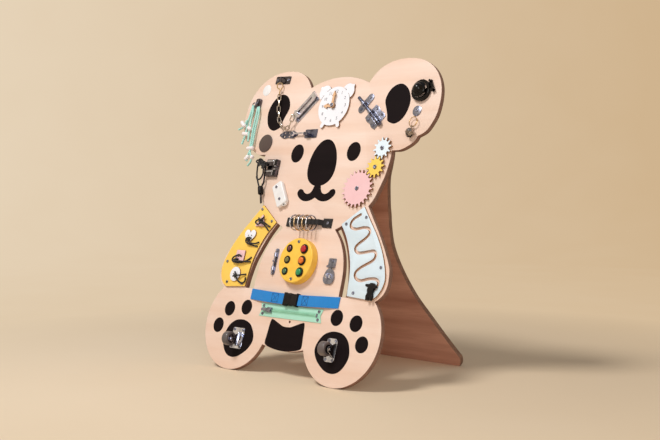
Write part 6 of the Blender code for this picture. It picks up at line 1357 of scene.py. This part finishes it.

# Stage: a pale sweep, a key lamp from the upper left and a soft fill from the camera's side; the
# paper's colour and glow go from pale on the left to darker on the right, a painted light falloff

stageSet = {
    "floor": ("eedcc3", "dcc09c"), "wall": ("e6d3b8", "d0b48f"), "spread": 1.9,
    "across": (0.72, 0.69, 0), "fade": (0.55, 1.15), "floorRadius": 1.3, "sweepRadius": 4.2,
    "height": 5, "world": 0.32, "bend": 1.2, "aim": (0, 0, 0.3),
    "keyLamp": ((-0.5, -1.9, 2.9), 0.9, 71), "fillLamp": ((2, -2.1, 1), 1.4, 20)}


def stageFinish():
    material, tree, shader = startFinish("stage paper", Roughness=0.9, Specular_IOR_Level=0.1)
    coords = addNode(tree, "TexCoord").outputs["Object"]
    spread = stageSet["spread"]
    across = maths(tree, "DOT_PRODUCT", coords, stageSet["across"], kind="VectorMath",
                   output="Value")
    fleck = ranged(tree, noise(tree, coords, 3, 2), 0.3, 0.7, 0, 0.06)
    # floor colour and backdrop glow darken along the 'across' direction, to the right: painted
    # light falloff
    share = maths(tree, "ADD", ranged(tree, across, -spread, spread), fleck)
    tree.links.new(mixed(tree, share, *stageSet["floor"]), shader.inputs["Base Color"])
    level = maths(tree, "MULTIPLY", coords, (1, 1, 0), kind="VectorMath")
    reach = maths(tree, "LENGTH", level, kind="VectorMath", output="Value")
    rays = addNode(tree, "LightPath").outputs
    seen = maths(tree, "MAXIMUM", rays["Is Camera Ray"], rays["Is Glossy Ray"])
    seen = maths(tree, "MAXIMUM", seen, rays["Is Transmission Ray"])
    seen = maths(tree, "MULTIPLY", seen, ranged(tree, reach, *stageSet["fade"]))
    glow = addNode(tree, "Emission", {"Color": mixed(tree, share, *stageSet["wall"])})
    both = addNode(tree, "MixShader", {0: seen, 1: shader.outputs[0], 2: glow.outputs[0]})
    tree.links.new(both.outputs[0], tree.nodes["Material Output"].inputs["Surface"])
    return material


def makeStage():
    paper = stageFinish()
    inner, outer, bend = stageSet["floorRadius"], stageSet["sweepRadius"], stageSet["bend"]
    sweep = arc(outer - bend, bend, bend, 12, start=-pi / 2) + [(outer, stageSet["height"])]
    for name, profile in (("studioFloor", [(0, 0), (inner, 0)]),
                          ("studioSweep", [(inner, 0)] + sweep)):
        bm = bmesh.new()
        addLathe(bm, profile, 96)
        if name == "studioFloor" and bm.faces[:][0].normal.z < 0:
            bmesh.ops.reverse_faces(bm, faces=bm.faces)
        for face in bm.faces:
            face.smooth = True
        mesh = bpy.data.meshes.new(name)
        bm.to_mesh(mesh)
        bm.free()
        mesh.materials.append(paper)
        made = bpy.data.objects.new(name, mesh)
        bpy.context.scene.collection.objects.link(made)
        if name == "studioSweep":
            made.visible_diffuse = made.visible_shadow = False


def addLamp(name):
    spot, size, power = stageSet[name]
    lamp = bpy.data.lights.new(name, "AREA")
    lamp.shape = "DISK"
    lamp.size = size
    lamp.energy = power
    made = bpy.data.objects.new(name, lamp)
    made.location = spot
    aim = Vector(stageSet["aim"]) - Vector(spot)
    made.rotation_euler = aim.to_track_quat("-Z", "Y").to_euler()
    made.visible_camera = False
    bpy.context.scene.collection.objects.link(made)


makeStage()
addLamp("keyLamp")
addLamp("fillLamp")
world = bpy.data.worlds.new("studio")
world.use_nodes = True
backdrop = world.node_tree.nodes["Background"].inputs
backdrop["Color"].default_value = (1, 0.99, 0.98, 1)
backdrop["Strength"].default_value = stageSet["world"]
bpy.context.scene.world = world

print("stage set")
